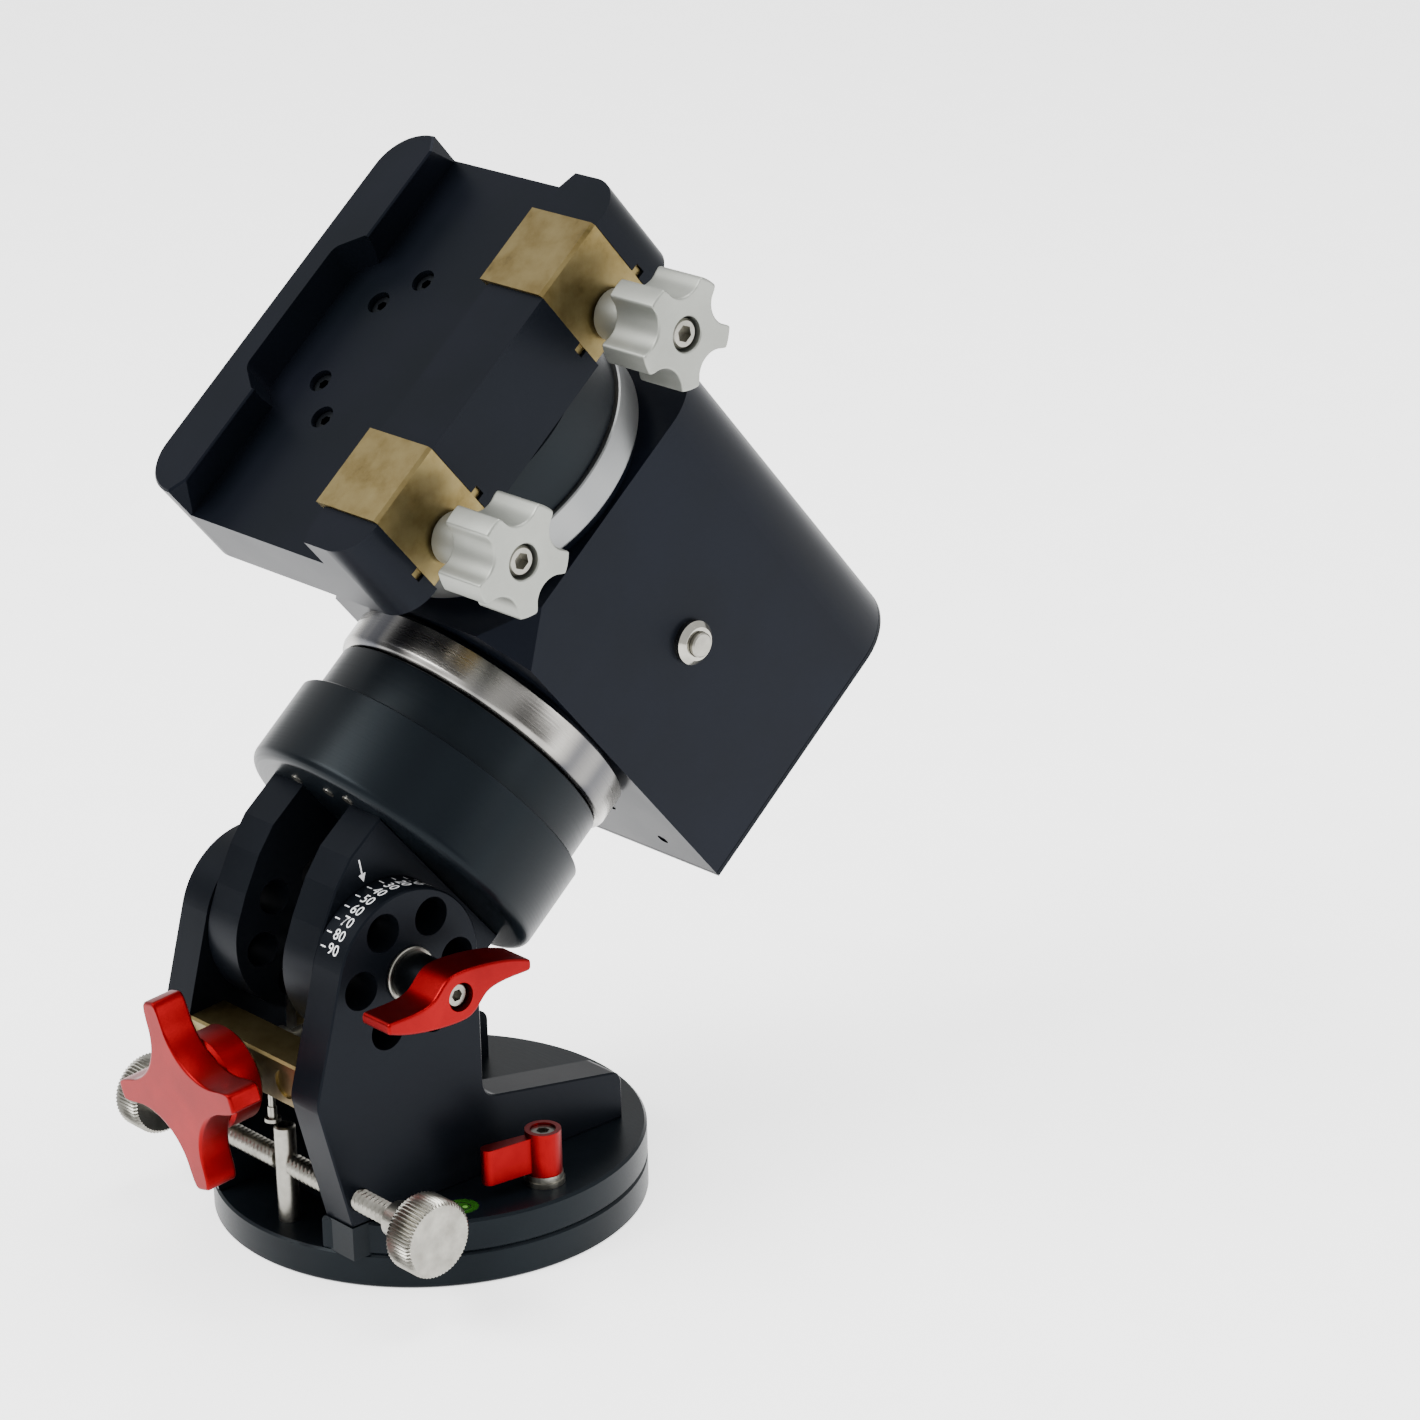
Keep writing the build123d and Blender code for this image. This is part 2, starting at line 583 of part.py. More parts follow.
# the nut rides where the fork's centre line crosses the screw
tilt_rad = math.radians(TILT_DEG)
dy = PIVOT_Y - TILT_FACE_Y
dz = PIVOT_Z - TILT_FACE_Z
along_foot = dy * math.cos(tilt_rad) + dz * math.sin(tilt_rad)
DROP = dz * math.cos(tilt_rad) - dy * math.sin(tilt_rad)
nut_offset = DROP * math.tan(math.radians(ALTITUDE - MID_ALTITUDE))
nut_mid = along_foot + nut_offset
nut = block(-NUT_HALF_W, NUT_HALF_W, nut_mid - NUT_LEN / 2, nut_mid + NUT_LEN / 2, -NUT_H / 2, NUT_H / 2)
nut = chamfer(nut.edges().filter_by(Axis.Y), 1.0)
FORK_OUT = CLEVIS_IN - THRUST
nut += tube_x(TRUNNION_R, -FORK_OUT + 0.2, FORK_OUT - 0.2, nut_mid, 0)
nut -= tube_y(TILT_SCREW_R + RUN, nut_mid - NUT_LEN / 2, nut_mid + NUT_LEN / 2, 0, 0)
keep("tilt_nut", nut, TILT)

# ================================================================ thumb screws
flute_ring = None
for k in range(FLUTES):
    a = math.radians(360 * k / FLUTES)
    cut = tube_x(FLUTE_R, 0, THUMB_HEAD_T, THUMB_HEAD_R * math.cos(a), THUMB_HEAD_R * math.sin(a))
    flute_ring = cut if flute_ring is None else flute_ring + cut
thumb_head = tube_x(THUMB_HEAD_R, 0, THUMB_HEAD_T, 0, 0)
thumb_head = chamfer(thumb_head.edges().filter_by(GeomType.CIRCLE), 0.8)
thumb_head -= flute_ring
# The heads hang lower than the turntable's top, so they stay outside its rim.
head_half = math.sqrt(THUMB_HEAD_R ** 2 - (THUMB_Z - TURN_TOP) ** 2)
rim_x = math.sqrt(BASE_R ** 2 - (POST_Y + head_half) ** 2)
HEAD_X0 = rim_x + THUMB_RIM_GAP + POST_X - POST_R - TIP_GAP
thumb = tube_x(THUMB_R, 0, HEAD_X0, 0, 0)
thumb += tube_x(THUMB_COLLAR_R, HEAD_X0 - THUMB_COLLAR_T, HEAD_X0, 0, 0)
thumb += Pos(HEAD_X0, 0, 0) * thumb_head
keep("thumb_screw_right", Pos(POST_X + POST_R + TIP_GAP, POST_Y, THUMB_Z) * thumb)
keep("thumb_screw_left", Pos(POST_X - POST_R - TIP_GAP, POST_Y, THUMB_Z) * Rot(0, 0, 180) * thumb)

# ================================================================ azimuth lever
lever_face = hull_face(AZ_ARM_R, AZ_X, AZ_Y, AZ_TIP_R, AZ_TIP_X, AZ_TIP_Y)
lever = tube_z(AZ_HUB_R, AZ_WASHER_TOP, AZ_HUB_TOP, AZ_X, AZ_Y)
arm = slab_xy(lever_face, AZ_ARM_BOTTOM, AZ_ARM_TOP)
lever += arm
lever -= tube_z(AZ_SCREW_R, AZ_WASHER_TOP, AZ_HUB_TOP, AZ_X, AZ_Y)
lever -= tube_z(AZ_RECESS_R, AZ_HUB_TOP - AZ_RECESS_DEPTH, AZ_HUB_TOP, AZ_X, AZ_Y)
keep("azimuth_lever", lever)
az_screw = tube_z(AZ_SCREW_R, TURN_Z0, AZ_HUB_TOP - AZ_RECESS_DEPTH, AZ_X, AZ_Y)
az_screw += tube_z(AZ_WASHER_R, TURN_TOP + THRUST, TURN_TOP + 1.4, AZ_X, AZ_Y)
az_screw += tube_z(AZ_WASHER_R - 0.4, TURN_TOP + 1.4, AZ_WASHER_TOP, AZ_X, AZ_Y)
az_head_top = AZ_HUB_TOP - 0.6
az_screw += tube_z(AZ_RECESS_R - POCKET, AZ_HUB_TOP - AZ_RECESS_DEPTH, az_head_top, AZ_X, AZ_Y)
az_screw -= socket_z(1.7, az_head_top, 2.0, AZ_X, AZ_Y)
keep("azimuth_lever_screw", az_screw)

# ================================================================ clevis plates
clevis_touch = tangent_from(-4.6, 21.8, 0, 0, CLEVIS_R, 1)
right_side = [(-4.6, 21.8), (4.8, 25.8), (13.0, 27.8), (DRUM_U0, 27.5)]
mirrored = [(p[0], -p[1]) for p in reversed(right_side)]
clevis_face = make_face(Polyline((0, 0), clevis_touch, *right_side, *mirrored, (clevis_touch[0], -clevis_touch[1]), close=True))
clevis_face = clevis_face + Circle(CLEVIS_R)
for k in range(6):
    a = math.radians(30 + 60 * k)
    clevis_face -= Pos(CLEVIS_HOLE_PCR * math.cos(a), CLEVIS_HOLE_PCR * math.sin(a)) * Circle(CLEVIS_HOLE_R)
clevis_face -= Circle(AXLE_R + RUN)
drum_screw_spots = []
for side in (1, -1):
    for sv in (18.0, -18.0):
        drum_screw_spots.append((side * (CLEVIS_IN + CLEVIS_OUT) / 2, sv))

# fork arms hang inside the clevis gap, square to the screw at mid altitude
fork_angle = -90.0 + TILT_DEG - MID_ALTITUDE
fork_end = DROP / math.cos(math.radians(30.0)) + TRUNNION_R + 2.2
fork_face = Pos(18.0, 0) * Rectangle(20.0, FORK_W)
fork_face = fork_face + Pos(fork_end - FORK_W / 2, 0) * Circle(FORK_W / 2)
slot_a = DROP - 1.2
slot_b = fork_end - TRUNNION_R - 1.8
fork_face -= Pos(slot_a, 0) * Circle(FORK_SLOT_W / 2)
fork_face -= Pos(slot_b, 0) * Circle(FORK_SLOT_W / 2)
fork_face -= Pos((slot_a + slot_b) / 2, 0) * Rectangle(slot_b - slot_a, FORK_SLOT_W)
fork_face = Rot(0, 0, fork_angle) * fork_face
fork_screw_r = 1.25
fork_spot_r = 11.0
fork_a = math.radians(fork_angle)
fork_spots = []
for lateral in (-4.0, 4.0):
    su = fork_spot_r * math.cos(fork_a) - lateral * math.sin(fork_a)
    sv = fork_spot_r * math.sin(fork_a) + lateral * math.cos(fork_a)
    fork_spots.append((su, sv))

block_screws = None
for side, tag in ((1, "right"), (-1, "left")):
    lo = CLEVIS_IN if side == 1 else -CLEVIS_OUT
    hi = CLEVIS_OUT if side == 1 else -CLEVIS_IN
    plate = slab_yz(clevis_face, lo, hi)
    outer = plate.faces().sort_by(Axis.X)[-1 if side == 1 else 0]
    plate = chamfer(outer.outer_wire().edges(), PLATE_CHAMFER)
    f_lo = FORK_IN if side == 1 else -CLEVIS_IN
    f_hi = CLEVIS_IN if side == 1 else -FORK_IN
    arm = slab_yz(fork_face, f_lo, f_hi)
    for su, sv in fork_spots:
        p_lo = f_lo if side == 1 else -CLEVIS_IN - 3.0
        p_hi = CLEVIS_IN + 3.0 if side == 1 else f_hi
        pin = tube_x(fork_screw_r, p_lo, p_hi, su, sv)
        plate -= pin
        arm -= pin
        block_screws = pin if block_screws is None else block_screws + pin
    for sx, sv in drum_screw_spots:
        if sx * side > 0:
            plate -= tube_y(1.5, DRUM_U0 - 8.0, DRUM_U0, sx, sv)
    keep("clevis_plate_" + tag, plate, HEAD)
    keep("tilt_fork_" + tag, arm, HEAD)

# ================================================================ right ascension drum
drum = tube_y(DRUM_R, DRUM_U0, DRUM_U1, 0, 0)
drum = fillet(drum.edges().filter_by(GeomType.CIRCLE).sort_by(Axis.Y)[:1], 3.0)
drum -= tube_y(30.0, DRUM_U0 + 6.0, DRUM_U1, 0, 0)
for sx, sv in drum_screw_spots:
    drum -= tube_y(1.5, DRUM_U0, DRUM_U0 + 6.0, sx, sv)
    one = tube_y(1.5, DRUM_U0 - 8.0, DRUM_U0 + 6.0, sx, sv)
    one += tube_y(2.75, DRUM_U0 + 6.0, DRUM_U0 + 9.0, sx, sv)
    block_screws += one
for sx in (-9.1, 3.6, 11.2):
    block_screws += tube_y(1.6, DRUM_U0 - 0.3, DRUM_U0, sx, 30.5)
keep("ra_drum", drum, HEAD)
keep("altitude_block_screws", block_screws, HEAD)

mid = tube_y(MID_R, DRUM_U1, MID_U1, 0, 0)
mid -= tube_y(CUP_R + 2.0, DRUM_U1 + 3.0, MID_U1, 0, 0)
mid -= tube_y(10.0, DRUM_U1, DRUM_U1 + 3.0, 0, 0)
keep("ra_mid_drum", mid, HEAD)


def drive_cup(start, end):
    """Flexible cup: a floor at start, a thin wall, and a toothed rim at end."""
    direction = 1 if end > start else -1
    floor = start + direction * 2.0
    rim = end - direction * 2.2
    cup = tube_y(CUP_R, min(start, end), max(start, end), 0, 0)
    cup -= tube_y(CUP_R - CUP_WALL, min(floor, end), max(floor, end), 0, 0)
    cup += tube_y(CUP_R + TOOTH_H, min(rim, end), max(rim, end), 0, 0)
    cup -= tube_y(CUP_R - CUP_WALL, min(rim, end), max(rim, end), 0, 0)
    return cup - tube_y(8.0, min(start, floor), max(start, floor), 0, 0)


def bearing_ring(start, end):
    """Inner race of the crossed-roller bearing, with its V groove."""
    ring = tube_y(BEARING_R, start, end, 0, 0)
    middle = (start + end) / 2
    groove = Pos(0, middle, 0) * Rot(90, 0, 0) * Torus(BEARING_R, 1.2)
    return ring - tube_y(BEARING_IN_R, start, end, 0, 0) - groove


keep("ra_flexspline", drive_cup(DRUM_U1 + 3.0, RING_U1 - 0.3), HEAD)
keep("ra_bearing_ring", bearing_ring(MID_U1, RING_U1 - 3.1), HEAD)

# ================================================================ right ascension ring
ra_ring = tube_y(RING_R, MID_U1 + THRUST, RING_U1, 0, 0)
ra_ring = fillet(ra_ring.edges().filter_by(GeomType.CIRCLE).sort_by(Axis.Y)[:1], 1.6)
ra_ring -= tube_y(BEARING_R + RUN, MID_U1 + THRUST, RING_U1 - 2.9, 0, 0)
ra_ring -= tube_y(DRIVE_BORE_R, RING_U1 - 2.9, RING_U1, 0, 0)
keep("ra_ring", ra_ring, HEAD)


# ================================================================ head housing
def head_outline(inset):
    """Plan of the housing in (x, u), inset by a wall."""
    x = HEAD_X - inset
    u0 = HEAD_U0 + inset
    u1 = HEAD_U1 - inset
    face = Pos(0, (u0 + u1) / 2) * Rectangle(2 * x, u1 - u0)
    radius = HEAD_CORNER_R - inset
    face = soften(face, x, u1, radius)
    face = soften(face, -x, u1, radius)
    return face


def facet_cut(side, depth):
    """Half space beyond the corner facet on one side, moved out by depth."""
    normal = Vector(side / FACET_X, -1 / FACET_U, 1 / FACET_V).normalized()
    point = Vector(side * (HEAD_X - FACET_X), HEAD_U0, HEAD_V1) + normal * depth
    return Plane(origin=point, z_dir=normal) * Pos(0, 0, 20) * Box(90, 90, 40)


COVER_V1 = COVER_V0 + COVER_T
shell = slab_xy(head_outline(0), COVER_V1, HEAD_V1)
void = slab_xy(head_outline(HEAD_WALL), COVER_V1, HEAD_V1 - HEAD_WALL)
for side in (1, -1):
    shell -= facet_cut(side, 0)
    void -= facet_cut(side, -3.0)
shell -= void
shell += tube_y(REGISTER_R, RING_U1, HEAD_U0, 0, 0)
shell -= tube_y(DRIVE_BORE_R, RING_U1, HEAD_U0, 0, 0)
shell -= tube_y(WAVE_BORE_R, HEAD_U0, HEAD_U0 + HEAD_WALL, 0, 0)
shell += tube_z(REGISTER_R, HEAD_V1, DEC_RING_V0, 0, DEC_U)
shell -= tube_z(DRIVE_BORE_R, HEAD_V1, DEC_RING_V0, 0, DEC_U)
shell -= tube_z(WAVE_BORE_R, HEAD_V1 - HEAD_WALL, HEAD_V1, 0, DEC_U)
# inner webs that carry the two motors
inner_x = HEAD_X - HEAD_WALL + 0.5
shell += block(-inner_x, inner_x, RA_WEB_U, RA_WEB_U + WEB_T, COVER_V1 + 2.0, 12.0)
shell += block(-inner_x, inner_x, DEC_U - 18.0, HEAD_U1 - HEAD_WALL - 3.0, DEC_WEB_V, DEC_WEB_V + WEB_T) & slab_xy(head_outline(1.0), DEC_WEB_V, DEC_WEB_V + WEB_T)
shell -= tube_y(WAVE_SHAFT_R + RUN, RA_WEB_U, RA_WEB_U + WEB_T, 0, 0)
shell -= tube_y(11.0, RA_WEB_U, RA_WEB_U + WEB_T, 0, RA_MOTOR_V)
shell -= tube_z(WAVE_SHAFT_R + RUN, DEC_WEB_V, DEC_WEB_V + WEB_T, 0, DEC_U)
shell -= tube_z(11.0, DEC_WEB_V, DEC_WEB_V + WEB_T, 0, DEC_MOTOR_U)
# button seat on +X, ports on -X
shell -= tube_x(BEZEL_R - 1.0, HEAD_X - HEAD_WALL - 0.5, HEAD_X, BUTTON_U, BUTTON_V)
jack_u = 124.0
usb_u = 136.0
aux_u = 150.0 - 2.0
shell -= tube_x(5.5, -HEAD_X, -HEAD_X + HEAD_WALL + 0.5, jack_u, PORT_V)
shell -= block(-HEAD_X, -HEAD_X + HEAD_WALL + 0.5, usb_u - 4.7, usb_u + 4.7, PORT_V - 2.0, PORT_V + 2.0)
cover_screws = None
cover = slab_xy(head_outline(0), COVER_V0, COVER_V1)
cover = chamfer(cover.faces().sort_by(Axis.Z)[0].edges(), 0.8)
cover = chamfer(cover.faces().sort_by(Axis.Z)[-1].outer_wire().edges(), SEAM)
cover_side_x = HEAD_X - COVER_SCREW_INSET
cover_spots = []
for side in (-1, 1):
    cover_spots.append((side * cover_side_x, HEAD_U0 + COVER_SCREW_INSET))
    cover_spots.append((side * cover_side_x, COVER_SCREW_MID_U))
    cover_spots.append((side * COVER_SCREW_REAR_X, HEAD_U1 - COVER_SCREW_REAR_INSET))
for sx, su in cover_spots:
    boss = tube_z(3.6, COVER_V1, COVER_V1 + 9.0, sx, su)
    shell += boss
    shell -= tube_z(COVER_SCREW_R, COVER_V1, COVER_V1 + 8.0, sx, su)
    cover -= tube_z(COVER_SCREW_R, COVER_V0, COVER_V1, sx, su)
    cover -= tube_z(3.0, COVER_V0, COVER_V0 + 1.2, sx, su)
    one = tube_z(COVER_SCREW_R, COVER_V0 + 1.2, COVER_V1 + 8.0, sx, su)
    one += tube_z(2.8, COVER_V0 + 0.2, COVER_V0 + 1.2, sx, su)
    one -= extrude(Plane.XY.offset(COVER_V0 + 0.2) * Pos(sx, su) * RegularPolygon(1.2, 6), amount=0.8)
    cover_screws = one if cover_screws is None else cover_screws + one
for sx, sv in END_SCREW_SPOTS:
    shell -= tube_y(END_SCREW_R, HEAD_U0, HEAD_U0 + HEAD_WALL, sx, sv)
    end_screw = tube_y(END_SCREW_R, HEAD_U0 + 0.4, HEAD_U0 + HEAD_WALL + 1.0, sx, sv)
    end_screw -= extrude(Plane.XZ.offset(-HEAD_U0 - 0.4) * Pos(sx, sv) * RegularPolygon(0.85, 6), amount=-1.0)
    cover_screws += end_screw
keep("head_housing", shell, HEAD)
keep("rear_cover", cover, HEAD)
keep("rear_cover_screws", cover_screws, HEAD)

dec_ring = tube_z(RING_R, DEC_RING_V0, DEC_RING_V1, 0, DEC_U)
dec_ring = fillet(dec_ring.edges().filter_by(GeomType.CIRCLE).sort_by(Axis.Z)[:1], 1.2)
dec_ring -= tube_z(BEARING_R + RUN, DEC_RING_V0 + 2.9, DEC_RING_V1, 0, DEC_U)
dec_ring -= tube_z(DRIVE_BORE_R, DEC_RING_V0, DEC_RING_V0 + 2.9, 0, DEC_U)
keep("dec_ring", dec_ring, HEAD)

# ================================================================ power button
bezel = tube_x(BEZEL_R, HEAD_X, HEAD_X + BEZEL_OUT, BUTTON_U, BUTTON_V)
bezel = chamfer(bezel.edges().filter_by(GeomType.CIRCLE).sort_by(Axis.X)[-1:], 1.4)
bezel += tube_x(BEZEL_R - 1.0, HEAD_X - 7.0, HEAD_X, BUTTON_U, BUTTON_V)
bezel -= tube_x(BEZEL_BORE_R, HEAD_X - 6.0, HEAD_X + BEZEL_OUT, BUTTON_U, BUTTON_V)
keep("power_bezel", bezel, HEAD)
CAP_X1 = HEAD_X + CAP_OUT
CAP_X0 = HEAD_X - 6.0 + BUTTON_TRAVEL + 0.3
button = tube_x(CAP_R, CAP_X0, CAP_X1, BUTTON_U, BUTTON_V)
button = chamfer(button.edges().filter_by(GeomType.CIRCLE).sort_by(Axis.X)[-1:], 0.4)
keep("power_button", button, HEAD)

# ================================================================ motors, board, ports
MOTOR_PIN = MOTOR_SHAFT_R + RUN
ra_m0 = RA_WEB_U + WEB_T
half = MOTOR_SIZE / 2
ra_motor = block(-half, half, ra_m0, ra_m0 + RA_MOTOR_LEN, RA_MOTOR_V - half, RA_MOTOR_V + half)
ra_motor = chamfer(ra_motor.edges().filter_by(Axis.Y), 3.0)
ra_motor += tube_y(10.8, ra_m0 - 2.0, ra_m0, 0, RA_MOTOR_V)
ra_motor -= tube_y(MOTOR_PIN, ra_m0 - 2.0, ra_m0 + 8.0, 0, RA_MOTOR_V)
keep("ra_motor", ra_motor, HEAD)
dec_motor = block(-half, half, DEC_MOTOR_U - half, DEC_MOTOR_U + half, DEC_WEB_V - DEC_MOTOR_LEN, DEC_WEB_V)
dec_motor = chamfer(dec_motor.edges().filter_by(Axis.Z), 3.0)
dec_motor += tube_z(10.8, DEC_WEB_V, DEC_WEB_V + 2.0, 0, DEC_MOTOR_U)
dec_motor -= tube_z(MOTOR_PIN, DEC_WEB_V - 8.0, DEC_WEB_V + 2.0, 0, DEC_MOTOR_U)
keep("dec_motor", dec_motor, HEAD)
BOARD_V = -58.5
board = block(-31.0, 17.0, 120.5, 151.5, BOARD_V, BOARD_V + 1.6)
for bx, bu, bw, bd, bh in ((-6.0, 129.0, 10.0, 10.0, 1.6), (8.0, 141.0, 12.0, 8.0, 2.0), (-8.0, 144.0, 6.0, 6.0, 4.0)):
    board += block(bx - bw / 2, bx + bw / 2, bu - bd / 2, bu + bd / 2, BOARD_V + 1.6, BOARD_V + 1.6 + bh)
keep("control_board", board, HEAD)
port_x = -HEAD_X + 1.2
ports = tube_x(5.3, -HEAD_X + 0.3, -22.0, jack_u, PORT_V)
ports -= tube_x(3.2, -HEAD_X + 0.3, -28.0, jack_u, PORT_V)
ports += tube_x(1.0, port_x, -28.0, jack_u, PORT_V)
usb = block(-HEAD_X + 0.3, -24.0, usb_u - 4.5, usb_u + 4.5, PORT_V - 1.8, PORT_V + 1.8)
usb = fillet(usb.edges().filter_by(Axis.X), 1.6)
usb -= block(-HEAD_X + 0.3, -30.0, usb_u - 4.0, usb_u + 4.0, PORT_V - 1.3, PORT_V + 1.3)
usb += block(-HEAD_X + 1.5, -30.0, usb_u - 3.2, usb_u + 3.2, PORT_V - 0.35, PORT_V + 0.35)
ports += usb
ports += block(-30.0, -24.0, jack_u - 5.0, jack_u + 5.0, BOARD_V + 1.6, PORT_V - 4.0)
ports += block(-30.0, -24.0, usb_u - 4.5, usb_u + 4.5, BOARD_V + 1.6, PORT_V - 1.0)
keep("side_ports", ports, HEAD)


# ================================================================ belts and pulleys
def belt_band(x1, y1, r1, x2, y2, r2):
    """Closed band of even thickness around two pulleys."""
    outer = hull_face(r1 + BELT_T, x1, y1, r2 + BELT_T, x2, y2)
    inner = hull_face(r1 + RUN, x1, y1, r2 + RUN, x2, y2)
    return outer - inner


ra_band = Plane.XZ.offset(-RA_PULLEY_U) * belt_band(0, 0, WAVE_PULLEY_R, 0, RA_MOTOR_V, MOTOR_PULLEY_R)
keep("ra_belt", extrude(ra_band, amount=-PULLEY_W), HEAD)
dec_band = belt_band(0, DEC_U, WAVE_PULLEY_R, 0, DEC_MOTOR_U, MOTOR_PULLEY_R)
keep("dec_belt", slab_xy(dec_band, DEC_PULLEY_V, DEC_PULLEY_V + PULLEY_W), HEAD)

WAVE_R = CUP_R - CUP_WALL - RUN
ra_wave = tube_y(WAVE_R, RING_U1 - 5.0, RING_U1 + 0.5, 0, 0)
ra_wave += tube_y(WAVE_SHAFT_R, RING_U1 - 5.0, RA_WEB_U + WEB_T, 0, 0)
ra_wave += tube_y(WAVE_PULLEY_R, RA_PULLEY_U, RA_PULLEY_U + PULLEY_W, 0, 0)
keep("ra_wave_generator", ra_wave, HEAD)
ra_pulley = tube_y(MOTOR_PULLEY_R, RA_PULLEY_U, RA_PULLEY_U + PULLEY_W, 0, RA_MOTOR_V)
ra_pulley += tube_y(MOTOR_SHAFT_R, RA_PULLEY_U, ra_m0 + 7.5, 0, RA_MOTOR_V)
keep("ra_motor_pulley", ra_pulley, HEAD)
dec_wave = tube_z(WAVE_R, DEC_RING_V0 - 0.5, DEC_RING_V0 + 5.0, 0, DEC_U)
dec_wave += tube_z(WAVE_SHAFT_R, DEC_WEB_V, DEC_RING_V0 + 5.0, 0, DEC_U)
dec_wave += tube_z(WAVE_PULLEY_R, DEC_PULLEY_V, DEC_PULLEY_V + PULLEY_W, 0, DEC_U)
keep("dec_wave_generator", dec_wave, HEAD)
dec_pulley = tube_z(MOTOR_PULLEY_R, DEC_PULLEY_V, DEC_PULLEY_V + PULLEY_W, 0, DEC_MOTOR_U)
dec_pulley += tube_z(MOTOR_SHAFT_R, DEC_WEB_V - 7.5, DEC_PULLEY_V + PULLEY_W, 0, DEC_MOTOR_U)
keep("dec_motor_pulley", dec_pulley, HEAD)

# ================================================================ declination output
DEC_HEAD = HEAD * Pos(0, DEC_U, 0) * Rot(90, 0, 0)
keep("dec_bearing_ring", bearing_ring(DEC_RING_V0 + 3.1, DEC_RING_V1 + THRUST), DEC_HEAD)
keep("dec_flexspline", drive_cup(DEC_FLANGE_V1 - 5.0, DEC_RING_V0 + 0.3), DEC_HEAD)
flange = tube_z(MID_R, DEC_RING_V1 + THRUST, DEC_FLANGE_V1, 0, DEC_U)
flange += tube_z(DEC_STEP_R, DEC_FLANGE_V1, SADDLE_V0, 0, DEC_U)
flange -= tube_z(CUP_R + 2.0, DEC_RING_V1 + THRUST, DEC_FLANGE_V1 - 5.0, 0, DEC_U)


# ================================================================ saddle
def strip_wall(v):
    """Inner wall of the fixed strip at height v, undercut towards the floor."""
    return STRIP_X1 - (STRIP_TOP_V - v) * math.tan(math.radians(DOVETAIL_DEG))


plan = Pos((STRIP_X0 + BLOCK_X1) / 2, (SADDLE_U0 + SADDLE_U1) / 2) * Rectangle(BLOCK_X1 - STRIP_X0, SADDLE_U1 - SADDLE_U0)
plan = soften(plan, STRIP_X0, SADDLE_U0, STRIP_CORNER_R)
plan = soften(plan, STRIP_X0, SADDLE_U1, STRIP_CORNER_R)
plan = soften(plan, BLOCK_X1, SADDLE_U0, BLOCK_CORNER_R)
plan = soften(plan, BLOCK_X1, SADDLE_U1, BLOCK_CORNER_R)
saddle = slab_xy(plan, SADDLE_V0, STRIP_TOP_V)
saddle -= block(BLOCK_X0 - 1, BLOCK_X1 + 5, SADDLE_U0 - 5, SADDLE_U1 + 5, BLOCK_TOP_V, STRIP_TOP_V + 5)
channel = Polyline(
    (strip_wall(FLOOR_V), FLOOR_V),
    (strip_wall(STRIP_TOP_V + 1), STRIP_TOP_V + 1),
    (BLOCK_X0, STRIP_TOP_V + 1),
    (BLOCK_X0, FLOOR_V),
    close=True,
)
saddle -= extrude(Plane.XZ.offset(-SADDLE_U1 - 1) * make_face(channel), amount=SADDLE_U1 - SADDLE_U0 + 2)
for end, inward in ((SADDLE_U0, 1), (SADDLE_U1, -1)):
    lead = make_face(Polyline(
        (STRIP_X1 + 2, end - inward),
        (STRIP_X1 - LEAD_X, end - inward),
        (STRIP_X1 - LEAD_X, end),
        (STRIP_X1 + 0.2, end + inward * (LEAD_U + 0.3)),
        (STRIP_X1 + 2, end + inward * (LEAD_U + 0.3)),
        close=True,
    ))
    saddle -= slab_xy(lead, FLOOR_V, STRIP_TOP_V + 1)
    block_lead = make_face(Polyline(
        (BLOCK_X0 - 1, end - inward),
        (BLOCK_X0 + 1.8, end - inward),
        (BLOCK_X0 + 1.8, end),
        (BLOCK_X0, end + inward * LEAD_U),
        (BLOCK_X0 - 1, end + inward * LEAD_U),
        close=True,
    ))
    saddle -= slab_xy(block_lead, FLOOR_V, STRIP_TOP_V + 1)
strip_top = saddle.faces().filter_by(Axis.Z).sort_by(Axis.Z)[-1]
saddle = chamfer(strip_top.outer_wire().edges(), SADDLE_CHAMFER)
recess = make_face(Polyline(
    (STRIP_X1 + 2, RECESS_U0),
    (STRIP_X1 - 1.0, RECESS_U0),
    (RECESS_X, RECESS_U0 + RECESS_SLOPE),
    (RECESS_X, RECESS_U1 - RECESS_SLOPE),
    (STRIP_X1 - 1.0, RECESS_U1),
    (STRIP_X1 + 2, RECESS_U1),
    close=True,
))
recess = soften(recess, RECESS_X, RECESS_U0 + RECESS_SLOPE, 4.0)
recess = soften(recess, RECESS_X, RECESS_U1 - RECESS_SLOPE, 4.0)
saddle -= slab_xy(recess, FLOOR_V, STRIP_TOP_V + 1)
for ju in JAW_U:
    u_mid = ju + JAW_W / 2
    half_slot = JAW_SLOT_W / 2
    saddle -= block(JAW_POCKET_X0, BLOCK_X1 + 5, u_mid - half_slot, u_mid + half_slot, SADDLE_V0 - 1, STRIP_TOP_V + 1)
    rib_half = half_slot + RIB_OUT
    saddle -= block(JAW_BODY_X0 - 5.0, BLOCK_X1 + 5, u_mid - rib_half, u_mid + rib_half, RIB_V0 - GUIDE, RIB_V1 + GUIDE)
    saddle -= tube_x(JAW_SCREW_R + RUN, JAW_SCREW_X0 - 5.0, JAW_POCKET_X0, u_mid, JAW_KNOB_V)
saddle_screws = None
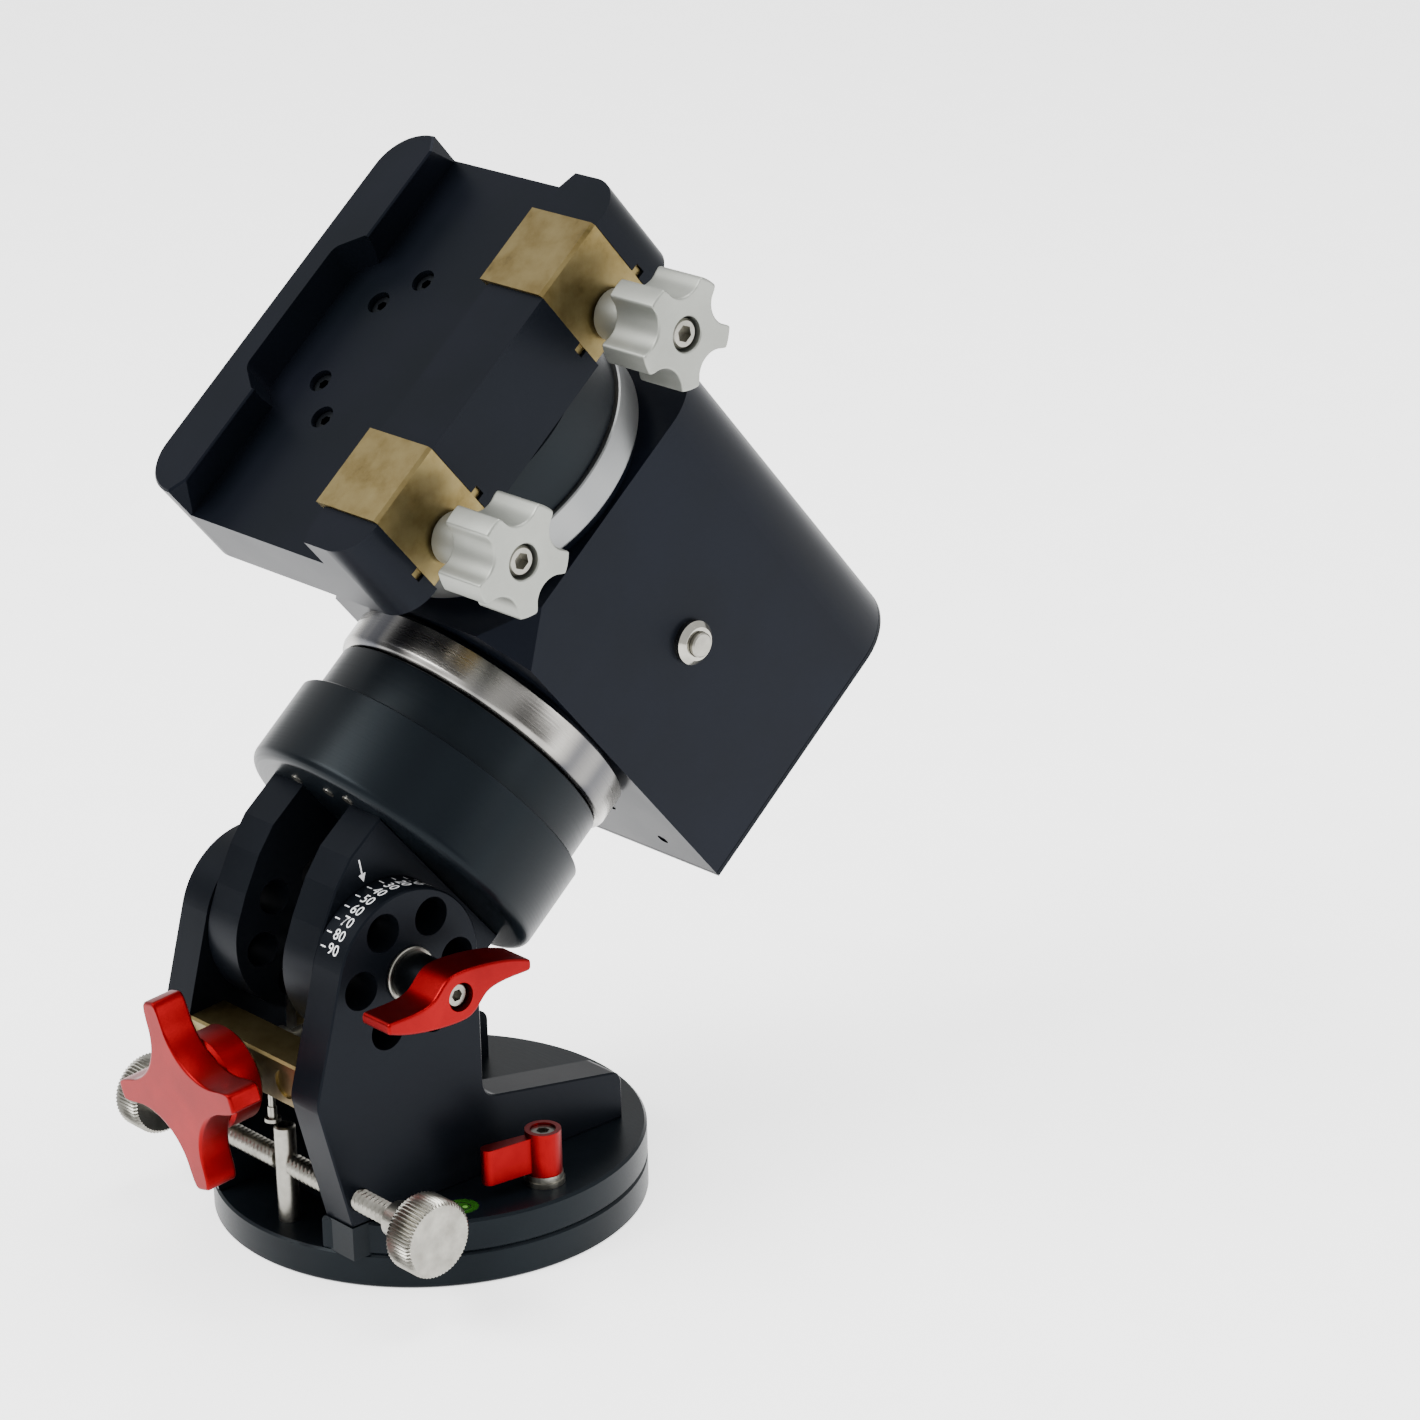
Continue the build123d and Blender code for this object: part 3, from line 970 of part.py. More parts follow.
for deg in SADDLE_BOLT_ANGLES:
    a = math.radians(deg)
    bx = SADDLE_BOLT_PCR * math.cos(a)
    bu = DEC_U + SADDLE_BOLT_PCR * math.sin(a)
    head_v0 = FLOOR_V - SADDLE_CBORE_DEPTH
    saddle -= tube_z(SADDLE_SHANK_R, SADDLE_V0, FLOOR_V, bx, bu)
    saddle -= tube_z(SADDLE_CBORE_R, head_v0, FLOOR_V, bx, bu)
    flange -= tube_z(SADDLE_SHANK_R, SADDLE_V0 - 6.0, SADDLE_V0, bx, bu)
    one = tube_z(SADDLE_SHANK_R, SADDLE_V0 - 6.0, head_v0, bx, bu)
    one += tube_z(SADDLE_HEAD_R, head_v0, head_v0 + 3.0, bx, bu)
    one -= socket_z(1.45, head_v0 + 3.0, 1.6, bx, bu)
    saddle_screws = one if saddle_screws is None else saddle_screws + one
keep("dec_flange", flange, HEAD)
keep("saddle", saddle, HEAD)
keep("saddle_screws", saddle_screws, HEAD)

# ================================================================ jaws and their knobs
for ju, tag in zip(JAW_U, ("front", "rear")):
    u_mid = ju + JAW_W / 2
    nose_slope = (JAW_TOP_V - FLOOR_V) * math.tan(math.radians(DOVETAIL_DEG))
    side_view = Polyline(
        (JAW_BODY_X0, JAW_BOTTOM_V),
        (JAW_BODY_X0, FLOOR_V + 0.3),
        (JAW_X0 + nose_slope, FLOOR_V + 0.3),
        (JAW_X0, JAW_TOP_V),
        (JAW_X1, JAW_TOP_V),
        (JAW_X1, JAW_BOTTOM_V),
        close=True,
    )
    jaw = extrude(Plane.XZ.offset(-u_mid - JAW_W / 2) * make_face(side_view), amount=JAW_W)
    jaw = chamfer(jaw.edges().filter_by(Axis.Y).sort_by(Axis.X)[-2:], 0.8)
    rib_half = JAW_W / 2 + RIB_OUT
    jaw += block(JAW_BODY_X0, JAW_X1 - 0.8, u_mid - rib_half, u_mid + rib_half, RIB_V0, RIB_V1)
    jaw -= tube_x(JAW_SCREW_R + RUN, JAW_BODY_X0 - 1, JAW_X1 + 1, u_mid, JAW_KNOB_V)
    keep("jaw_" + tag, jaw, HEAD)
    knob_face = star_face(5, JAW_STAR_R, JAW_STAR_VALLEY_R, JAW_STAR_TIP_W, 90)
    knob = slab_yz(Pos(u_mid, JAW_KNOB_V) * knob_face, JAW_STAR_X0, JAW_STAR_X1)
    knob += tube_x(JAW_BOSS_R, JAW_BOSS_X0, JAW_STAR_X0, u_mid, JAW_KNOB_V)
    knob -= tube_x(JAW_SCREW_R, JAW_BOSS_X0, JAW_STAR_X1, u_mid, JAW_KNOB_V)
    knob -= tube_x(JAW_RECESS_R, JAW_STAR_X1 - JAW_RECESS_DEPTH, JAW_STAR_X1, u_mid, JAW_KNOB_V)
    keep("jaw_knob_" + tag, knob, HEAD)
    recess_x = JAW_STAR_X1 - JAW_RECESS_DEPTH
    bolt = tube_x(JAW_SCREW_R, JAW_SCREW_X0, recess_x, u_mid, JAW_KNOB_V)
    bolt_head = tube_x(JAW_HEAD_R, recess_x, JAW_STAR_X1 - 1.0, u_mid, JAW_KNOB_V)
    bolt += chamfer(bolt_head.edges().filter_by(GeomType.CIRCLE).sort_by(Axis.X)[-1:], 0.5)
    bolt -= socket_x(2.2, JAW_STAR_X1 - 1.0, 2.4, u_mid, JAW_KNOB_V)
    keep("jaw_screw_" + tag, bolt, HEAD)

# ================================================================ export
for name, shape in NODES.items():
    export_step(shape, os.path.join("parts", name + ".step"))
    print(name, round(shape.volume, 1), len(shape.solids()), shape.is_valid)
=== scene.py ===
# %% [markdown]
# # A star tracker mount in Blender
# The mount is a small strain-wave equatorial head on a wedge base. Its solid
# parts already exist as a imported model, so this lesson loads them, gives each
# one the finish of the real metal, and swaps the turned pieces, the star
# knobs and the azimuth screws for smooth surfaces worked out from formulas.

# %% Load the frame
import bpy
import json
import math
import numpy as np
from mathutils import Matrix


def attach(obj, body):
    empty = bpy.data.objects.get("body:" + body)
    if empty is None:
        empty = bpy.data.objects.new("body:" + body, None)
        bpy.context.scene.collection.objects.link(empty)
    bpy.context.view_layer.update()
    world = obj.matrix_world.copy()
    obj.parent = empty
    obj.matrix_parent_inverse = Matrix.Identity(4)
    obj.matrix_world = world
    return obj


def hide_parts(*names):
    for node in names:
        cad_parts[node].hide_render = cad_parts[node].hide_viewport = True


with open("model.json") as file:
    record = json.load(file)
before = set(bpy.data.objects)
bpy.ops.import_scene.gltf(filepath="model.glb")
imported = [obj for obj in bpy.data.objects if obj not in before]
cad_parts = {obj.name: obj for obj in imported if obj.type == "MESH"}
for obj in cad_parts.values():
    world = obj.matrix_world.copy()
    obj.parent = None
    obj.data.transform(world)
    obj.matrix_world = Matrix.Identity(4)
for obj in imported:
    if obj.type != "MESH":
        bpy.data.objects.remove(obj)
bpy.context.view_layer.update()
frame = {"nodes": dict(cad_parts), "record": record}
print("nodes loaded:", len(frame["nodes"]))

# %% [markdown]
# Every length below is in millimetres. The head is tilted by 40 degrees about
# the altitude axis, and the tilt screw slopes by 5 degrees, so a surface is
# first drawn in its own upright frame and then placed by a turn about X and a
# shift. That keeps each formula as simple as the drawing of the part.

# %% Frames of the tilted pieces
MM = 0.001
PIVOT = np.array([0.0, -29.3, 80.0])
ALTITUDE = 40.0
BASE_R = 56.5
RING_R = 40.0         # outside of both drive rings
NECK_R = 38.6         # black body beside each ring
RACE_R = 31.05        # bearing seat in each ring
CUP_BORE_R = 23.8     # room for the flexible cup
RING_BORE_R = 22.75
DEC_CENTRE = (0, 117.0, 0)
PUSH_Y = -47.8        # azimuth screws
PUSH_Z = 24.8
JAW_CENTRES = (("front", 81.2), ("rear", 149.7))
JAW_KNOB_V = 77.3
LEVEL_CENTRE = (42.1, -23.7, 0)
TILT_FACE = np.array([0.0, -78.5, 52.1])
TILT = 5.0


def turn_x(degrees):
    """Matrix of a turn about X: y' = y cos a - z sin a, z' = y sin a + z cos a."""
    a = math.radians(degrees)
    return np.array([[1, 0, 0], [0, math.cos(a), -math.sin(a)], [0, math.sin(a), math.cos(a)]])


PLACES = {
    "base": (np.eye(3), np.zeros(3)),
    "head": (turn_x(ALTITUDE), PIVOT),
    "tilt": (turn_x(TILT), TILT_FACE),
}


def placed(points, place):
    """World point = turn times point, plus shift."""
    turn, shift = PLACES[place]
    return points @ turn.T + shift


print("frames:", ", ".join(PLACES))

# %% [markdown]
# A surface is a grid of points: one index runs along a profile and the other
# goes round it. The faces of a grid are found from the point numbers alone,
# as whole arrays, and one numpy call hands them to the mesh.

# %% Turn a grid of points into a piece
def grid_faces(rows, cols, around=True):
    """Four point numbers per face of a rows x cols grid; the columns close up if around is true."""
    r = np.arange(rows - 1)[:, None]
    c = np.arange(cols if around else cols - 1)[None, :]
    n = (c + 1) % cols
    quads = np.stack([r * cols + c, r * cols + n, (r + 1) * cols + n, (r + 1) * cols + c], axis=-1)
    return quads.reshape(-1, 4)


def make_piece(name, points, faces, body, finish, place="base", sharp=32.0, replaces=()):
    """A mesh object in the row frame, riding on its body and standing for its CAD nodes."""
    world = placed(np.asarray(points, dtype=float), place) * MM
    mesh = bpy.data.meshes.new(name)
    mesh.vertices.add(len(world))
    mesh.vertices.foreach_set("co", world.astype(np.float32).ravel())
    faces = np.asarray(faces)
    mesh.loops.add(faces.size)
    mesh.loops.foreach_set("vertex_index", faces.ravel().astype(np.int32))
    mesh.polygons.add(len(faces))
    mesh.polygons.foreach_set("loop_start", np.arange(0, faces.size, faces.shape[1], dtype=np.int32))
    mesh.update(calc_edges=True)
    tidy_mesh(mesh)
    mesh.shade_smooth()
    mesh.set_sharp_from_angle(angle=math.radians(sharp))
    piece = bpy.data.objects.new(name.replace(" ", "_"), mesh)
    bpy.context.scene.collection.objects.link(piece)
    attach(piece, body)
    if replaces:
        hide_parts(*replaces)
    NEW_PIECES.append((piece, finish))
    return piece


def tidy_mesh(mesh):
    """Join doubled points, drop faces with no area, and point every face outwards."""
    import bmesh
    work = bmesh.new()
    work.from_mesh(mesh)
    bmesh.ops.remove_doubles(work, verts=work.verts, dist=1e-7)
    bmesh.ops.dissolve_degenerate(work, edges=work.edges, dist=1e-8)
    bmesh.ops.recalc_face_normals(work, faces=work.faces)
    work.to_mesh(mesh)
    work.free()


NEW_PIECES = []
print("mesh helpers ready")

# %% [markdown]
# Most of the mount is turned on a lathe: discs, drums, rings and pins. A
# turned piece is its half section carried round an axis. Real turned corners
# are broken with a small chamfer so that they don't cut fingers, so the
# helper cuts each corner of the section back by the same small amount.

# %% Turned pieces
def broken_corners(section, cut):
    """Each corner P of the closed section becomes P + c(A-P)/|A-P| and P + c(B-P)/|B-P|.

    A and B are the corner's two neighbours.
    """
    p = np.asarray(section, dtype=float)
    before = np.roll(p, 1, axis=0) - p
    after = np.roll(p, -1, axis=0) - p
    lb = np.linalg.norm(before, axis=1, keepdims=True)
    la = np.linalg.norm(after, axis=1, keepdims=True)
    cb = np.minimum(cut, lb * 0.4)
    ca = np.minimum(cut, la * 0.4)
    pair = np.stack([p + before / lb * cb, p + after / la * ca], axis=1)
    return pair.reshape(-1, 2)


AXES = {
    "x": np.array([[0, 0, 1], [1, 0, 0], [0, 1, 0]]),
    "y": np.array([[0, 1, 0], [0, 0, 1], [1, 0, 0]]),
    "z": np.array([[1, 0, 0], [0, 1, 0], [0, 0, 1]]),
}


def turned_points(section, axis, centre, steps=192):
    """(r, h) goes to (r cos t, r sin t, h), with h along the axis, then is moved to the centre."""
    t = np.linspace(0, 2 * math.pi, steps, endpoint=False)
    r = section[:, 0][:, None]
    h = section[:, 1][:, None]
    local = np.stack([r * np.cos(t), r * np.sin(t), np.broadcast_to(h, (len(section), steps))], axis=-1)
    return local.reshape(-1, 3) @ AXES[axis].T + np.asarray(centre)


def turned(name, section, axis, centre, body, finish, place="base", cut=0.35, steps=192, replaces=()):
    """A closed ring section of (radius, height) corners, turned about the axis."""
    ring = broken_corners(section, cut) if cut else np.asarray(section, dtype=float)
    ring = np.vstack([ring, ring[:1]])
    points = turned_points(ring, axis, centre, steps)
    return make_piece(name, points, grid_faces(len(ring), steps), body, finish, place, replaces=replaces)


def tube(r_in, r_out, h0, h1):
    """Corners of the section of a plain ring."""
    return [(r_in, h0), (r_out, h0), (r_out, h1), (r_in, h1)]


print("lathe ready")

# %% [markdown]
# The two base discs are turned from bar. The lower one carries the tripod
# thread and the post. The upper one is milled for the yoke, so only the
# lower one is a plain turning and is swapped here. The drums and the two steel
# rings of the strain-wave drives are turnings too.

# %% Base disc, drums and drive rings
base_section = [
    (3.97, 0), (BASE_R, 0), (BASE_R, 9), (14, 9),
    (14, 14.5), (1.6, 14.5), (1.6, 11), (3.97, 11),
]
turned(
    "lower base disc", base_section, "z", (0, 0, 0), "base", "black_turned",
    cut=0.6, replaces=("base_disc",),
)
arc = np.radians(np.linspace(90, 0, 9))
drum_rim = np.stack([28.5 - 3.0 * np.sin(arc), 39.0 + 3.0 * np.cos(arc)], axis=1)[:, ::-1]
drum_section = [(0.2, 25.5)] + [tuple(p) for p in drum_rim]
drum_section += [(42.0, 48.9), (30.0, 48.9), (30.0, 31.5), (0.2, 31.5)]
neck_section = tube(CUP_BORE_R, NECK_R, 48.9, 61.9)
ra_ring_section = [
    (RACE_R, 62.1), (37.8, 62.1), (39.3, 62.8), (RING_R, 64.2),
    (RING_R, 72.3), (RING_BORE_R, 72.3), (RING_BORE_R, 69.4), (RACE_R, 69.4),
]
dec_ring_section = [
    (RING_BORE_R, 43.0), (39.0, 43.0), (RING_R, 44.0), (RING_R, 53.3),
    (RACE_R, 53.3), (RACE_R, 45.9), (RING_BORE_R, 45.9),
]
flange_section = [
    (CUP_BORE_R, 53.35), (NECK_R, 53.35), (NECK_R, 69.7), (34.0, 69.7),
    (34.0, 71.2), (0.2, 71.2), (0.2, 64.7), (CUP_BORE_R, 64.7),
]
on_ra = ("y", (0, 0, 0))
on_dec = ("z", DEC_CENTRE)
for name, section, axis, body, finish, cut, node in (
    ("right ascension drum", drum_section, on_ra, "altitude_block", "black_turned", 0.3, "ra_drum"),
    ("right ascension neck", neck_section, on_ra, "altitude_block", "black_turned", 0.3, "ra_mid_drum"),
    ("right ascension ring", ra_ring_section, on_ra, "ra_head", "turned_steel", 0.35, "ra_ring"),
    ("declination ring", dec_ring_section, on_dec, "ra_head", "satin_ring", 0.35, "dec_ring"),
    ("declination flange", flange_section, on_dec, "dec_saddle", "black_turned", 0.3, "dec_flange"),
):
    turned(name, section, *axis, body, finish, "head", cut=cut, replaces=(node,))
print("turned pieces:", len(NEW_PIECES))

# %% [markdown]
# The azimuth screws push on the post. Their heads are straight-knurled and
# their shanks are cut with an M6 thread. Its pitch is 1 mm, drawn at 1.6 mm
# and a little deep so that the turns show. A thread is a turned
# surface whose radius also depends on how far round it is: the radius rises
# and falls once per pitch along the axis and shifts by one pitch per turn.

# %% Threads and knurls
def thread_points(r_out, depth, pitch, h0, h1, axis, centre, steps=40):
    """r = R - d |2 f - 1|, where f is the fraction of (h / p - t / 2pi).

    It is drawn from h0 to h1 with closed ends.
    """
    rows = int((h1 - h0) / pitch * 6) + 1
    h = np.linspace(h0, h1, rows)[:, None]
    t = np.linspace(0, 2 * math.pi, steps, endpoint=False)[None, :]
    f = np.mod(h / pitch - t / (2 * math.pi), 1.0)
    r = r_out - depth * np.abs(2 * f - 1)
    end = np.full((1, steps), 0.02)
    r = np.vstack([end, r, end])
    h = np.vstack([[[h0]], h, [[h1]]])
    local = np.stack([r * np.cos(t), r * np.sin(t), np.broadcast_to(h, r.shape)], axis=-1)
    return local.reshape(-1, 3) @ AXES[axis].T + np.asarray(centre), r.shape[0]


def knurl_points(radius, depth, teeth, h0, h1, axis, centre, bevel=0.9):
    """r = R - d (1 + cos(n t)) / 2, with both rims drawn in by the bevel and flat ends."""
    steps = teeth * 6
    t = np.linspace(0, 2 * math.pi, steps, endpoint=False)[None, :]
    wave = depth * (1 + np.cos(teeth * t)) / 2
    levels = np.array([
        [0.02, h0], [radius - 3.2, h0], [radius - bevel, h0], [radius, h0 + bevel],
        [radius, h1 - bevel], [radius - bevel, h1], [radius - 3.2, h1], [0.02, h1],
    ])
    keep = np.array([0, 0, 0.35, 1, 1, 0.35, 0, 0])[:, None]
    r = levels[:, :1] - wave * keep
    local = np.stack([r * np.cos(t), r * np.sin(t), np.broadcast_to(levels[:, 1:], r.shape)], axis=-1)
    return local.reshape(-1, 3) @ AXES[axis].T + np.asarray(centre), len(levels), steps


SHANK_END = 40.9      # all four are measured from the screw's tip
COLLAR_START = 40.7
HEAD_START = 48.69
HEAD_END = 57.69


def thumb_screw(side, tip):
    """Shank, collar and knurled head along one side, joined as one piece."""
    centre = (0, PUSH_Y, PUSH_Z)
    spans = sorted((tip, tip + side * SHANK_END))
    shank, rows = thread_points(3.0, 0.9, 1.6, spans[0], spans[1], "x", centre)
    groups = [(shank, grid_faces(rows, 40))]
    collar = sorted((tip + side * COLLAR_START, tip + side * HEAD_START))
    section = np.array([
        [0.02, collar[0]], [4.4, collar[0]], [4.75, collar[0] + 0.4],
        [4.75, collar[1] - 0.4], [4.4, collar[1]], [0.02, collar[1]],
    ])
    groups.append((turned_points(section, "x", centre, 64), grid_faces(len(section), 64)))
    head = sorted((tip + side * HEAD_START, tip + side * HEAD_END))
    knurl, levels, steps = knurl_points(10.0, 0.75, 60, head[0], head[1], "x", centre)
    groups.append((knurl, grid_faces(levels, steps)))
    return join_groups(groups)


def join_groups(groups):
    """Stack several (points, faces) sets into one, shifting the point numbers."""
    starts = np.cumsum([0] + [len(p) for p, _ in groups[:-1]])
    points = np.vstack([p for p, _ in groups])
    faces = np.vstack([f + s for (_, f), s in zip(groups, starts)])
    return points, faces


for side, tip, hand in ((1, 5.3, "right"), (-1, -0.5, "left")):
    points, faces = thumb_screw(side, tip)
    make_piece(
        "thumb screw " + hand + " look", points, faces, "thumb_" + hand, "stainless",
        replaces=("thumb_screw_" + hand,), sharp=40,
    )
print("thumb screws made")

# %% [markdown]
# The star knobs are milled from round bar: a scallop between each pair of
# lobes, then every edge rounded over. The outline is a radius that depends on
# the angle, and the rounding is a quarter circle that draws the outline in as
# it nears each face. The same formula with four lobes gives the tilt knob and
# with five the jaw knobs.

# %% Star knobs
def star_radius(t, lobes, tip, valley, lobe_width):
    """Distance to the outline along angle t.

    It is the smaller of the bar radius and the scallop, an arc of radius s about distance c.
    """
    half = math.pi / lobes
    edge = half - lobe_width / 2 / tip
    ex, ey = tip * math.cos(edge), tip * math.sin(edge)
    s = (ex * ex + ey * ey - 2 * ex * valley + valley * valley) / (2 * (ex - valley))
    c = valley + s
    away = np.mod(t, 2 * half) - half
    inside = s * s - (c * np.sin(away)) ** 2
    scallop = c * np.cos(away) - np.sqrt(np.maximum(inside, 0))
    return np.where((inside > 0) & (scallop < tip), scallop, tip)


def rounded_outline(radius, lobes):
    """Smooth a radius table a little by a short moving average round the circle."""
    width = max(3, int(len(radius) / lobes / 14)) | 1
    kernel = np.hanning(width + 2)[1:-1]
    kernel = kernel / kernel.sum()
    padded = np.concatenate([radius[-width:], radius, radius[:width]])
    return np.convolve(padded, kernel, mode="same")[width:-width]


def star_points(
    lobes, tip, valley, lobe_width, h0, h1, bevel, bore, recess, axis, centre, start, back_r=0.02
):
    """Rings at heights h, from the back face to the front one.

    The outline is drawn in by b (1 - sin q) as h goes b (1 - cos q) in from a face.
    """
    steps = lobes * 72
    t = np.linspace(0, 2 * math.pi, steps, endpoint=False)
    turned_t = t - math.radians(start)
    outline = rounded_outline(star_radius(turned_t, lobes, tip, valley, lobe_width), lobes)
    q = np.linspace(0, math.pi / 2, 6)
    rings = [(h0 + bevel * (1 - math.cos(a)), bevel * (1 - math.sin(a))) for a in q]
    rings += [(h1 - bevel * (1 - math.cos(a)), bevel * (1 - math.sin(a))) for a in q[::-1]]
    flat_edge = outline - bevel - 0.2
    r = [np.full(steps, back_r), outline * 0.5, flat_edge]
    r += [outline - inset for _, inset in rings]
    h = [h0, h0, h0] + [height for height, _ in rings]
    if recess:
        r.append(flat_edge)
        r += [np.full(steps, radius) for radius in (bore + 0.3, bore, bore, 0.02)]
        h += [h1, h1, h1 - 0.3, h1 - recess, h1 - recess]
    else:
        r += [flat_edge, outline * 0.5, np.full(steps, 0.02)]
        h += [h1, h1, h1]
    r = np.array(r)
    h = np.array(h)[:, None]
    local = np.stack([r * np.cos(t), r * np.sin(t), np.broadcast_to(h, r.shape)], axis=-1)
    return local.reshape(-1, 3) @ AXES[axis].T + np.asarray(centre), grid_faces(len(r), steps)


knob_star = star_points(4, 25.0, 11.5, 6.6, 0.0, 9.0, 0.8, 0, 0, "y", (0, 0, 0), -14.5)
hub_section = np.array([[0.02, 8.8], [11.6, 8.8], [12.5, 9.6], [12.5, 17.2], [11.7, 18.0], [0.02, 18.0]])
knob_hub = (turned_points(hub_section, "y", (0, 0, 0), 96), grid_faces(len(hub_section), 96))
points, faces = join_groups([knob_star, knob_hub])
make_piece(
    "tilt star knob", points, faces, "tilt_knob", "red_anodised", "tilt",
    replaces=("tilt_knob",), sharp=40,
)
for tag, u in JAW_CENTRES:
    star = star_points(5, 14.0, 9.3, 5.8, 51.5, 67.0, 0.7, 4.4, 5.0, "x", (0, u, JAW_KNOB_V), 90)
    boss_section = np.array([[0.02, 40.3], [6.0, 40.3], [6.5, 40.8], [6.5, 51.8], [0.02, 51.8]])
    boss = (turned_points(boss_section, "x", (0, u, JAW_KNOB_V), 72), grid_faces(len(boss_section), 72))
    points, faces = join_groups([star, boss])
    make_piece(
        "jaw star knob " + tag, points, faces, "jaw_knob_" + tag, "satin_silver", "head",
        replaces=("jaw_knob_" + tag,), sharp=40,
    )
print("star knobs made")

# %% [markdown]
# The long clamp lever turns on a sleeve that stands on a thin steel washer.
# On the real mount only the washer's rim is bright and the sleeve is black,
# so one CAD piece becomes two turned ones, each with its own finish.

# %% Washer and sleeve of the long lever
pivot_at = (0, PIVOT[1], PIVOT[2])
turned(
    "pivot washer", tube(4.1, 7.2, 32.46, 33.5), "x", pivot_at, "pivot_lever", "stainless",
    cut=0.25, steps=96, replaces=("pivot_lever_bush",),
)
turned(
    "pivot sleeve", tube(4.1, 6.2, 33.5, 42.15), "x", pivot_at, "pivot_lever", "black_screw",
    cut=0.3, steps=96,
)
print("washer and sleeve made")

# %% [markdown]
# Angle marks are laser-engraved on the round rim of the yoke plate, from 0 to
# 90 in steps of ten, and a small arrow on the clevis plate points at them.
# Text starts flat; each point at height h along the rim is then rolled on to
# the cylinder by the angle h / R, so the marks hug the metal.

# %% Engraved scale
RIM_R = 21.8


def flat_text(words, height):
    """Points and triangles of a word in the default typeface, centred, with capitals that high."""
    curve = bpy.data.curves.new("word", "FONT")
    curve.body = words
    curve.size = height / 0.69
    curve.align_x = "CENTER"
    curve.align_y = "CENTER"
    curve.resolution_u = 3
    holder = bpy.data.objects.new("word", curve)
    bpy.context.scene.collection.objects.link(holder)
    bpy.context.view_layer.update()
    flat = holder.evaluated_get(bpy.context.evaluated_depsgraph_get()).to_mesh()
    flat.calc_loop_triangles()
    points = np.empty(len(flat.vertices) * 3)
    flat.vertices.foreach_get("co", points)
    faces = np.empty(len(flat.loop_triangles) * 3, dtype=np.int32)
    flat.loop_triangles.foreach_get("vertices", faces)
    holder.to_mesh_clear()
    bpy.data.objects.remove(holder)
    bpy.data.curves.remove(curve)
    return points.reshape(-1, 3), faces.reshape(-1, 3)


def on_rim(flat, angle, x_mid, proud=0.02):
    """Flat (a, b) goes to x = x_mid + a and rim angle = angle - b / R, just proud of the rim."""
    phi = math.radians(angle) - flat[:, 1] / RIM_R
    r = RIM_R + proud
    y = PIVOT[1] + r * np.cos(phi)
    z = PIVOT[2] + r * np.sin(phi)
    return np.stack([x_mid + flat[:, 0], y, z], axis=-1)


groups = []
for mark in range(0, 100, 10):
    angle = 61.0 + mark
    points, faces = flat_text(str(mark), 2.8)
    groups.append((on_rim(points, angle, 27.3), faces))
    dash = np.array([[-0.9, -0.16, 0], [0.9, -0.16, 0], [0.9, 0.16, 0], [-0.9, 0.16, 0]])
    groups.append((on_rim(dash, angle, 23.5), np.array([[0, 1, 2], [0, 2, 3]])))
points, faces = join_groups(groups)
make_piece("altitude scale", points, faces, "turntable", "white_mark", sharp=180)
shaft = np.array([[-0.2, -3.0], [0.2, -3.0], [0.2, 1.2], [-0.2, 1.2]])
head = np.array([[-1.1, 1.0], [1.1, 1.0], [0.0, 3.2]])
arrow = np.vstack([shaft, head])
start = np.array([14.2, 25.4])
tip = np.array([11.2, 20.1])
along = (tip - start) / np.linalg.norm(tip - start)
across = np.array([-along[1], along[0]])
middle = (start + tip) / 2
flat = middle + arrow[:, :1] * across + arrow[:, 1:] * along
points = np.column_stack([np.full(len(flat), 21.53), flat])
faces = np.array([[0, 1, 2], [0, 2, 3], [4, 5, 6]])
make_piece("altitude arrow", points, faces, "altitude_block", "white_mark", "head", sharp=180)
print("scale marks drawn")

# %% [markdown]
# The level in the upper disc is a clear capsule of green spirit with an air
# bubble and a black ring. The bubble is a squashed ball just under the lens.

# %% Bubble of the level
def ball(centre, rx, rz, rows=16, cols=32):
    """(rx sin a cos t, rx sin a sin t, rz cos a) about the centre."""
    a = np.linspace(0, math.pi, rows)[:, None]
    t = np.linspace(0, 2 * math.pi, cols, endpoint=False)[None, :]
    x = rx * np.sin(a) * np.cos(t)
    y = rx * np.sin(a) * np.sin(t)
    z = rz * np.cos(a) + 0 * t
    local = np.stack([x, y, z], axis=-1)
    return local.reshape(-1, 3) + np.asarray(centre), grid_faces(rows, cols)


points, faces = ball((42.6, -23.2, 17.55), 1.5, 0.28)
make_piece("level bubble", points, faces, "turntable", "bubble_air", sharp=180)
turned(
    "level ring line", tube(1.95, 2.2, 17.8, 17.9), "z", LEVEL_CENTRE, "turntable", "level_ink",
    cut=0, steps=48,
)
print("level made")

# %% [markdown]
# Finishes come next. One helper turns a hex colour into linear light, and one
# adds a node with its settings and links, so each material reads as a recipe.

# %% Colour and node helpers
def linear(code):
    """sRGB hex to linear: c / 12.92 below 0.04045, else ((c + 0.055) / 1.055)^2.4."""
    c = np.array([int(code[i:i + 2], 16) for i in (1, 3, 5)]) / 255
    out = np.where(c <= 0.04045, c / 12.92, ((c + 0.055) / 1.055) ** 2.4)
    return (*out.tolist(), 1.0)


def add(tree, kind, inputs=None, **settings):
    """Add a node; inputs are values or output sockets, settings are its properties."""
    node = tree.nodes.new(kind)
    for key, value in settings.items():
        setattr(node, key, value)
    for key, value in (inputs or {}).items():
        socket = node.inputs[key]
        if isinstance(value, bpy.types.NodeSocket):
            tree.links.new(value, socket)
        else:
            socket.default_value = value
    return node


def start_material(name):
    """A fresh material: its tree, its shader and the object coordinates."""
    mat = bpy.data.materials.new(name)
    mat.use_nodes = True
    tree = mat.node_tree
    shader = next(n for n in tree.nodes if n.type == "BSDF_PRINCIPLED")
    coords = add(tree, "ShaderNodeTexCoord").outputs["Object"]
    return mat, tree, shader, coords


